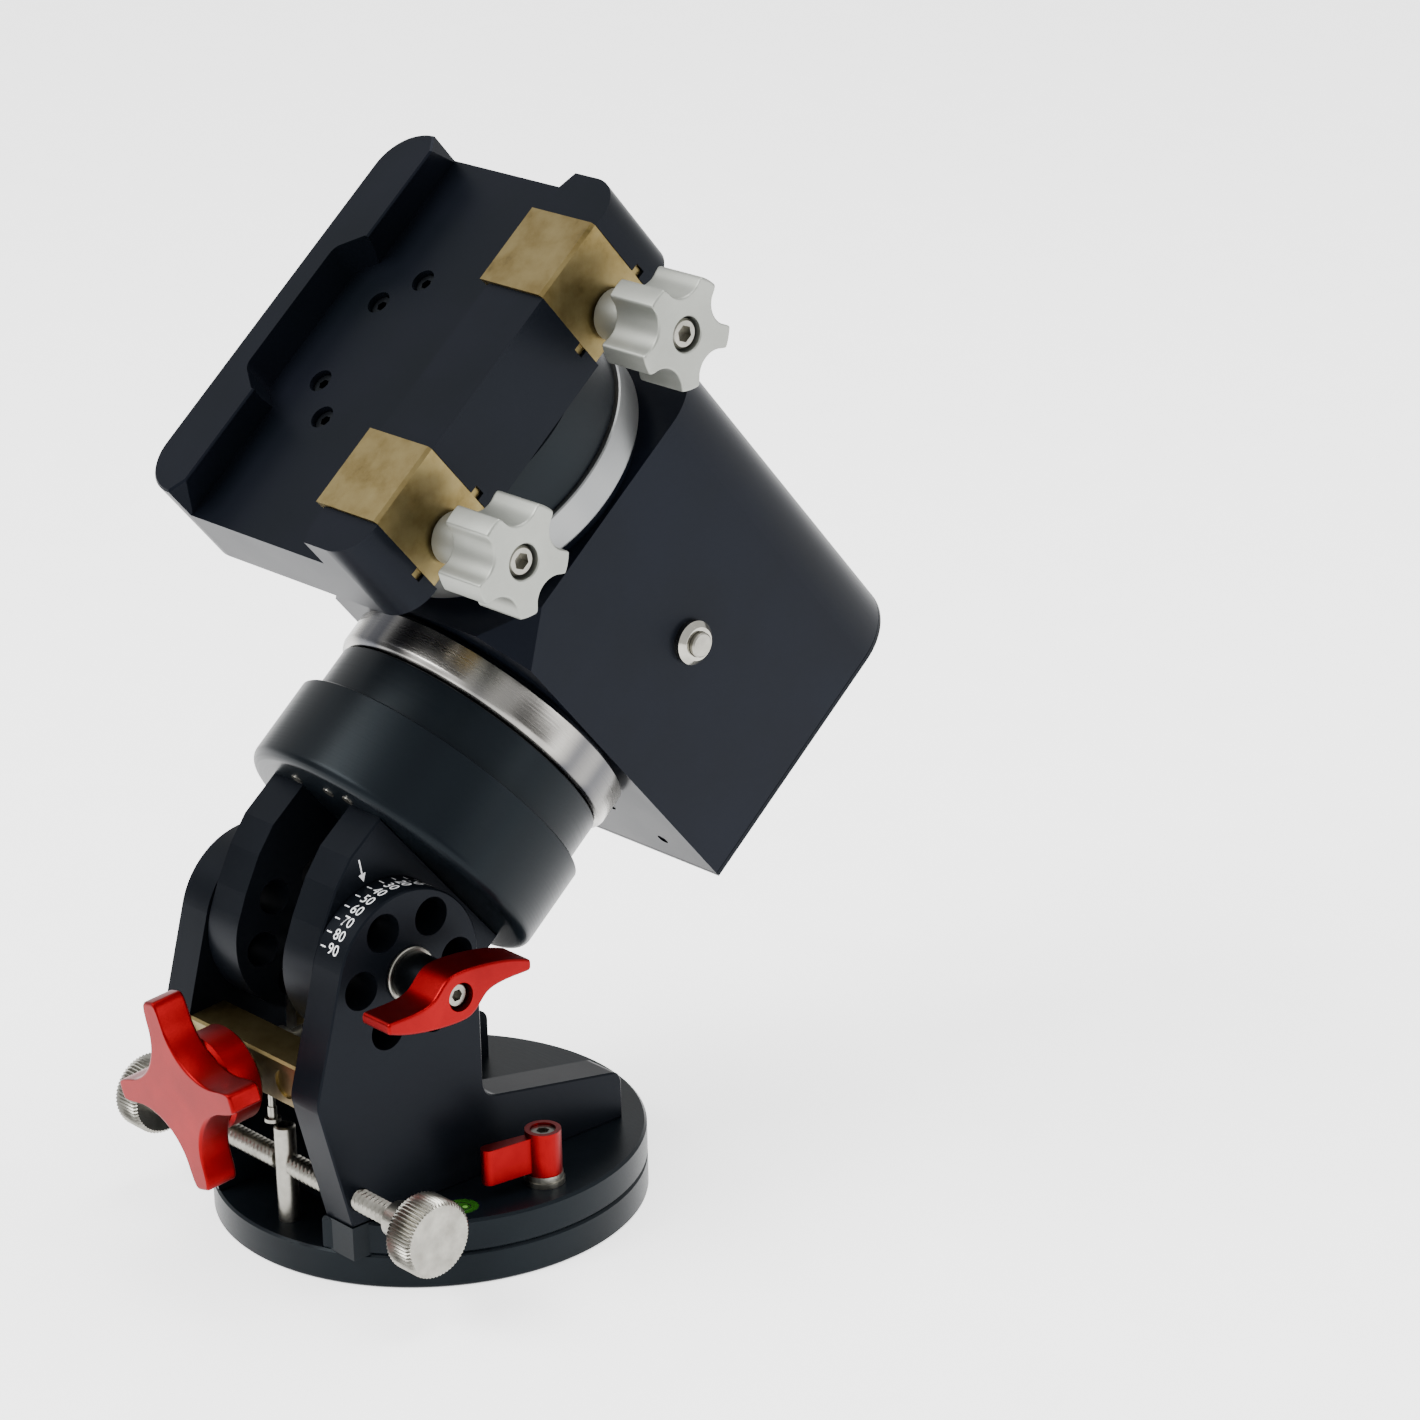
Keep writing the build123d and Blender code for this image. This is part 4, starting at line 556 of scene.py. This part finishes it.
def ramp(tree, factor, stops):
    """A colour ramp from (position, hex) stops."""
    node = add(tree, "ShaderNodeValToRGB", {"Fac": factor})
    while len(node.color_ramp.elements) < len(stops):
        node.color_ramp.elements.new(0.5)
    for element, (position, code) in zip(node.color_ramp.elements, stops):
        element.position = position
        element.color = linear(code)
    return node.outputs["Color"]


def spread(tree, factor, low, high):
    """Map 0..1 to low..high."""
    inputs = {"Value": factor, "To Min": low, "To Max": high}
    return add(tree, "ShaderNodeMapRange", inputs).outputs["Result"]


def noise(tree, where, size_mm, detail, **more):
    """Noise with features about size_mm across, read at the given coordinates."""
    inputs = {"Vector": where, "Scale": 1 / (size_mm * MM), "Detail": detail, **more}
    return add(tree, "ShaderNodeTexNoise", inputs).outputs["Fac"]


FINISH = {}
print("node helpers ready")

# %% [markdown]
# Black anodising is a hard oxide skin, dyed and sealed, over metal that was
# bead-blasted, milled or turned first. The skin is a dielectric, so the
# surface is black with a soft, slightly blue sheen and no metal colour. The
# blast pits are 0.1 mm; they're drawn at about 0.25 mm so that they show. Broad,
# faint unevenness stands for dust and finger marks.

# %% Black anodised finishes
def black_anodised(name, dark, light, rough, grain_mm, pits):
    """Blasted and dyed skin: fine pits in the bump and a broad change in sheen."""
    mat, tree, shader, coords = start_material(name)
    pit = noise(tree, coords, grain_mm, 2.0)
    cloud = noise(tree, coords, 28, 4.0)
    tree.links.new(ramp(tree, cloud, [(0.3, dark), (0.7, light)]), shader.inputs["Base Color"])
    tree.links.new(spread(tree, cloud, rough - 0.05, rough + 0.06), shader.inputs["Roughness"])
    bump = add(tree, "ShaderNodeBump", {"Height": pit, "Strength": pits, "Distance": 0.02 * MM})
    tree.links.new(bump.outputs["Normal"], shader.inputs["Normal"])
    shader.inputs["IOR"].default_value = 1.5
    shader.inputs["Specular IOR Level"].default_value = 0.07
    shader.inputs["Specular Tint"].default_value = linear("#dfe9ff")
    FINISH[name] = mat
    return mat


black_anodised("black_anodised", "#07090e", "#0a0d14", 0.34, 0.25, 0.35)
black_anodised("black_plate", "#07090d", "#0a0d11", 0.36, 0.25, 0.35)
black_anodised("black_milled", "#070a0e", "#0a0c12", 0.33, 0.3, 0.3)
print("black finishes:", len(FINISH))

# %% [markdown]
# Turned faces keep the marks of the tool: rings round the axis, 0.1 mm apart,
# drawn at 0.4 or 0.5 mm so that they show. The distance from the axis and the height
# along it are found first, and a noise that reads only those two makes
# rings. Bright steel also has faint sectors where the buff dwelt. The black
# turnings all share one finish, with its rings about the right ascension axis.

# %% Turned finishes
def around_axis(tree, coords, place, centre):
    """Radius and height about an axis, once its tilt is undone: r = sqrt(a^2 + b^2)."""
    tilt = math.radians(ALTITUDE)
    turn = {
        "head_ra": (tilt - math.pi / 2, PIVOT),
        "head_dec": (tilt, PIVOT),
        "base": (0.0, np.zeros(3)),
    }[place]
    shift = turn[1] + (turn_x(ALTITUDE) @ np.asarray(centre) if place == "head_dec" else np.zeros(3))
    inputs = {"Vector": coords, "Location": tuple(shift * MM), "Rotation": (turn[0], 0, 0)}
    local = add(tree, "ShaderNodeMapping", inputs, vector_type="TEXTURE").outputs["Vector"]
    split = add(tree, "ShaderNodeSeparateXYZ", {"Vector": local})
    inputs = {"X": split.outputs["X"], "Y": split.outputs["Y"]}
    flat = add(tree, "ShaderNodeCombineXYZ", inputs).outputs["Vector"]
    radius = add(tree, "ShaderNodeVectorMath", {0: flat}, operation="LENGTH").outputs["Value"]
    return local, radius, split.outputs["Z"]


def turned_finish(name, place, centre, colours, rough, metallic, line_mm, depth):
    """Tool rings from a noise of (radius, height), and slow sectors from the direction."""
    mat, tree, shader, coords = start_material(name)
    local, radius, height = around_axis(tree, coords, place, centre)
    rings_at = add(tree, "ShaderNodeCombineXYZ", {"X": radius, "Y": height}).outputs["Vector"]
    rings = noise(tree, rings_at, line_mm, 3.0)
    squash = {0: local, 1: (1, 1, 0.02)}
    sector_at = add(tree, "ShaderNodeVectorMath", squash, operation="MULTIPLY").outputs["Vector"]
    sectors = noise(tree, sector_at, 16, 1.0)
    tree.links.new(ramp(tree, sectors, colours), shader.inputs["Base Color"])
    tree.links.new(spread(tree, rings, rough - 0.07, rough + 0.1), shader.inputs["Roughness"])
    bump = add(tree, "ShaderNodeBump", {"Height": rings, "Strength": depth, "Distance": 0.03 * MM})
    tree.links.new(bump.outputs["Normal"], shader.inputs["Normal"])
    shader.inputs["Metallic"].default_value = metallic
    if metallic == 0:
        shader.inputs["IOR"].default_value = 1.5
        shader.inputs["Specular IOR Level"].default_value = 0.1
        shader.inputs["Specular Tint"].default_value = linear("#dcebf2")
    FINISH[name] = mat
    return mat


black = [(0.35, "#070a0e"), (0.65, "#0b0f13")]
bright = [(0.36, "#3c3d42"), (0.5, "#84827e"), (0.62, "#b4b1ab")]
dull = [(0.3, "#4a4b4d"), (0.7, "#5a5b5c")]
satin = [(0.3, "#747677"), (0.7, "#868786")]
turned_finish("black_turned", "head_ra", (0, 0, 0), black, 0.31, 0, 0.5, 0.35)
turned_finish("turned_steel", "head_ra", (0, 0, 0), bright, 0.24, 1, 0.5, 0.5)
turned_finish("retainer_steel", "base", (0, 0, 0), dull, 0.35, 1, 0.5, 0.3)
turned_finish("satin_ring", "head_dec", DEC_CENTRE, satin, 0.42, 1, 0.4, 0.3)
print("turned finishes made")

# %% [markdown]
# The red parts are anodised too, but over bright metal, so the dye is seen
# through to the aluminium: a coloured metal. The silver
# knobs are bead-blasted and clear anodised, which leaves a pale, even, matt
# metal. Stainless screws are ground; the brass is milled, with the brown
# blots that skin oil leaves on bare brass.

# %% Coloured and bare metals
def metal_finish(name, stops, blot_mm, rough, grain_mm, grain, stretch=(1, 1, 1)):
    """A metal whose colour drifts in blots and whose skin has a fine grain."""
    mat, tree, shader, coords = start_material(name)
    blots = noise(tree, coords, blot_mm, 5.0, Roughness=0.6)
    long = add(tree, "ShaderNodeMapping", {"Vector": coords, "Scale": stretch}).outputs["Vector"]
    skin = noise(tree, long, grain_mm, 2.0)
    tree.links.new(ramp(tree, blots, stops), shader.inputs["Base Color"])
    tree.links.new(spread(tree, skin, rough - 0.06, rough + 0.08), shader.inputs["Roughness"])
    bump = add(tree, "ShaderNodeBump", {"Height": skin, "Strength": grain, "Distance": 0.03 * MM})
    tree.links.new(bump.outputs["Normal"], shader.inputs["Normal"])
    shader.inputs["Metallic"].default_value = 1.0
    FINISH[name] = mat
    return mat


metal_finish("red_anodised", [(0.3, "#6a070c"), (0.7, "#7e0a10")], 14, 0.38, 0.3, 0.3)
metal_finish("satin_silver", [(0.3, "#888a84"), (0.7, "#949690")], 20, 0.5, 0.3, 0.4)
metal_finish("stainless", [(0.3, "#77756e"), (0.7, "#96948c")], 5, 0.3, 0.5, 0.3, stretch=(0.2, 1, 1))
brass = [(0.22, "#433a20"), (0.38, "#655735"), (0.55, "#716442"), (0.8, "#7a6e4c")]
metal_finish("brass", brass, 9, 0.36, 0.35, 0.3, stretch=(1, 0.12, 0.12))
metal_finish("black_screw", [(0.3, "#16181b"), (0.7, "#222529")], 3, 0.35, 0.3, 0.3)
metal_finish("chrome", [(0.3, "#8d8b82"), (0.7, "#a3a199")], 6, 0.12, 0.5, 0.1)
metal_finish("motor_steel", [(0.3, "#3a3b3d"), (0.7, "#4a4b4d")], 6, 0.4, 0.4, 0.3)
print("metals:", len(FINISH))

# %% [markdown]
# The rest are small: laser-engraved white, the level's green spirit, ink and
# air, the circuit board, the rubber belts and the connector shells. Each
# still gets a little unevenness, because nothing real is one flat colour.

# %% Small finishes
def plain_finish(name, stops, rough, scale_mm, transmission=0.0):
    """A non-metal with a gentle drift of colour and roughness."""
    mat, tree, shader, coords = start_material(name)
    drift = noise(tree, coords, scale_mm, 3.0)
    tree.links.new(ramp(tree, drift, stops), shader.inputs["Base Color"])
    tree.links.new(spread(tree, drift, rough - 0.05, rough + 0.05), shader.inputs["Roughness"])
    shader.inputs["IOR"].default_value = 1.5
    shader.inputs["Transmission Weight"].default_value = transmission
    FINISH[name] = mat
    return mat


plain_finish("white_mark", [(0.3, "#cfd0d2"), (0.7, "#e3e4e6")], 0.6, 2)
plain_finish("vial", [(0.3, "#1f4d12"), (0.7, "#2f6b1a")], 0.12, 3, transmission=0.35)
plain_finish("bubble_air", [(0.3, "#5c8f3e"), (0.7, "#74a852")], 0.1, 2)
plain_finish("level_ink", [(0.3, "#0c1408"), (0.7, "#101a0c")], 0.4, 2)
plain_finish("board", [(0.3, "#0d3a1c"), (0.7, "#124a26")], 0.4, 4)
plain_finish("belt", [(0.3, "#141414"), (0.7, "#1c1c1c")], 0.7, 2)
plain_finish("port_plastic", [(0.3, "#121314"), (0.7, "#1b1c1e")], 0.45, 3)
print("finishes in all:", len(FINISH))

# %% [markdown]
# Every CAD node takes the finish that the record names for it, and every new
# piece the one it was made with. The retainer is turned about the base's axis,
# not the head's, so it has tool rings of its own.

# %% Paint every piece
slots = {part["node"]: part["material_slot"] for part in frame["record"]["subparts"]}
for node, obj in frame["nodes"].items():
    obj.data.materials.clear()
    obj.data.materials.append(FINISH[slots[node]])
for piece, finish in NEW_PIECES:
    piece.data.materials.append(FINISH[finish])
frame["nodes"]["azimuth_retainer"].data.materials.clear()
frame["nodes"]["azimuth_retainer"].data.materials.append(FINISH["retainer_steel"])
print("painted", len(frame["nodes"]), "nodes and", len(NEW_PIECES), "new pieces")

# %% [markdown]
# The studio is a white light table under large soft lamps. Black parts show
# their form only by what they mirror, so one long lamp stands to the left and
# above for the edge lights, and a weaker one fills from the right. Two dark
# cards that the camera can't see give the bright metal something to mirror.

# %% Floor, lamps and sky
from mathutils import Vector


def lamp(name, place, aim, size, power):
    """A square area lamp at a place in metres, turned to face the aim point."""
    data = bpy.data.lights.new(name, "AREA")
    data.shape = "RECTANGLE"
    data.size, data.size_y = size
    data.energy = power
    obj = bpy.data.objects.new(name, data)
    bpy.context.scene.collection.objects.link(obj)
    obj.location = place
    obj.rotation_euler = (Vector(aim) - Vector(place)).to_track_quat("-Z", "Y").to_euler()
    return obj


side = 4.0
floor_mesh = bpy.data.meshes.new("table")
corners = [(-side, -side, 0), (side, -side, 0), (side, side, 0), (-side, side, 0)]
floor_mesh.from_pydata(corners, [], [(0, 1, 2, 3)])
floor = bpy.data.objects.new("table", floor_mesh)
bpy.context.scene.collection.objects.link(floor)
floor_mat, tree, shader, coords = start_material("white table")
grain = add(tree, "ShaderNodeTexNoise", {"Vector": coords, "Scale": 40.0, "Detail": 2.0}).outputs["Fac"]
tree.links.new(ramp(tree, grain, [(0.3, "#f2f2f2"), (0.7, "#f6f6f6")]), shader.inputs["Base Color"])
shader.inputs["Roughness"].default_value = 0.8
shader.inputs["Emission Color"].default_value = (1, 1, 1, 1)
shader.inputs["Emission Strength"].default_value = 1.6
floor_mesh.materials.append(floor_mat)
world = bpy.data.worlds.new("sky")
world.use_nodes = True
world.node_tree.nodes["Background"].inputs["Color"].default_value = (1, 1, 1, 1)
world.node_tree.nodes["Background"].inputs["Strength"].default_value = 1.3
bpy.context.scene.world = world
key = lamp("long lamp above left", (-0.35, -0.95, 1.15), (0, 0, 0.13), (0.9, 0.5), 26)
fill = lamp("right fill", (1.3, 0.35, 0.55), (0, 0, 0.12), (0.7, 0.7), 9)
top = lamp("top lamp", (0.1, 0.35, 1.35), (0, 0, 0.1), (0.8, 0.8), 13)
card_mat, tree, shader, coords = start_material("dark card")
grain = add(tree, "ShaderNodeTexNoise", {"Vector": coords, "Scale": 60.0}).outputs["Fac"]
tree.links.new(ramp(tree, grain, [(0.3, "#0b0b0c"), (0.7, "#111112")]), shader.inputs["Base Color"])


def card(name, centre, across, tall):
    """A flat rectangle: corners at the centre plus or minus half of each of its two side vectors."""
    c, a, b = (np.asarray(v, dtype=float) for v in (centre, across, tall))
    mesh = bpy.data.meshes.new(name)
    signs = ((-1, -1), (1, -1), (1, 1), (-1, 1))
    mesh.from_pydata([(c + i * a / 2 + j * b / 2).tolist() for i, j in signs], [], [(0, 1, 2, 3)])
    obj = bpy.data.objects.new(name, mesh)
    bpy.context.scene.collection.objects.link(obj)
    mesh.materials.append(card_mat)
    obj.visible_camera = False
    return obj


left_card = card("left card", (-0.75, -0.75, 0.35), (0.35, -0.35, 0), (0, 0, 0.7))
right_card = card("right card", (1.0, -0.1, 0.3), (0.1, 0.45, 0), (0, 0, 0.6))
print("studio lit")

# %% [markdown]
# The camera looks down a little from the front right, with a long lens, so
# that the parts keep their proportions.

# %% Camera
from mathutils import Matrix

cam = bpy.data.cameras.new("camera")
cam.lens = 110.9
cam.sensor_width = 36.0
camera = bpy.data.objects.new("camera", cam)
bpy.context.scene.collection.objects.link(camera)
right = np.array([0.6767, 0.7361, -0.0190])
up = np.array([-0.2467, 0.2509, 0.9362])
back = np.array([0.6938, -0.6287, 0.3513])
spot = np.array([0, 0, 0.10725]) + back * 1.1028 + right * 0.07449 + up * 0.02372
pose = np.eye(4)
pose[:3, 0], pose[:3, 1], pose[:3, 2], pose[:3, 3] = right, up, back, spot
camera.matrix_world = Matrix(pose.tolist())
cam.clip_start = 0.05
cam.clip_end = 20.0
bpy.context.scene.camera = camera
print("camera", round(float(np.linalg.norm(spot)), 3), "m from the origin")
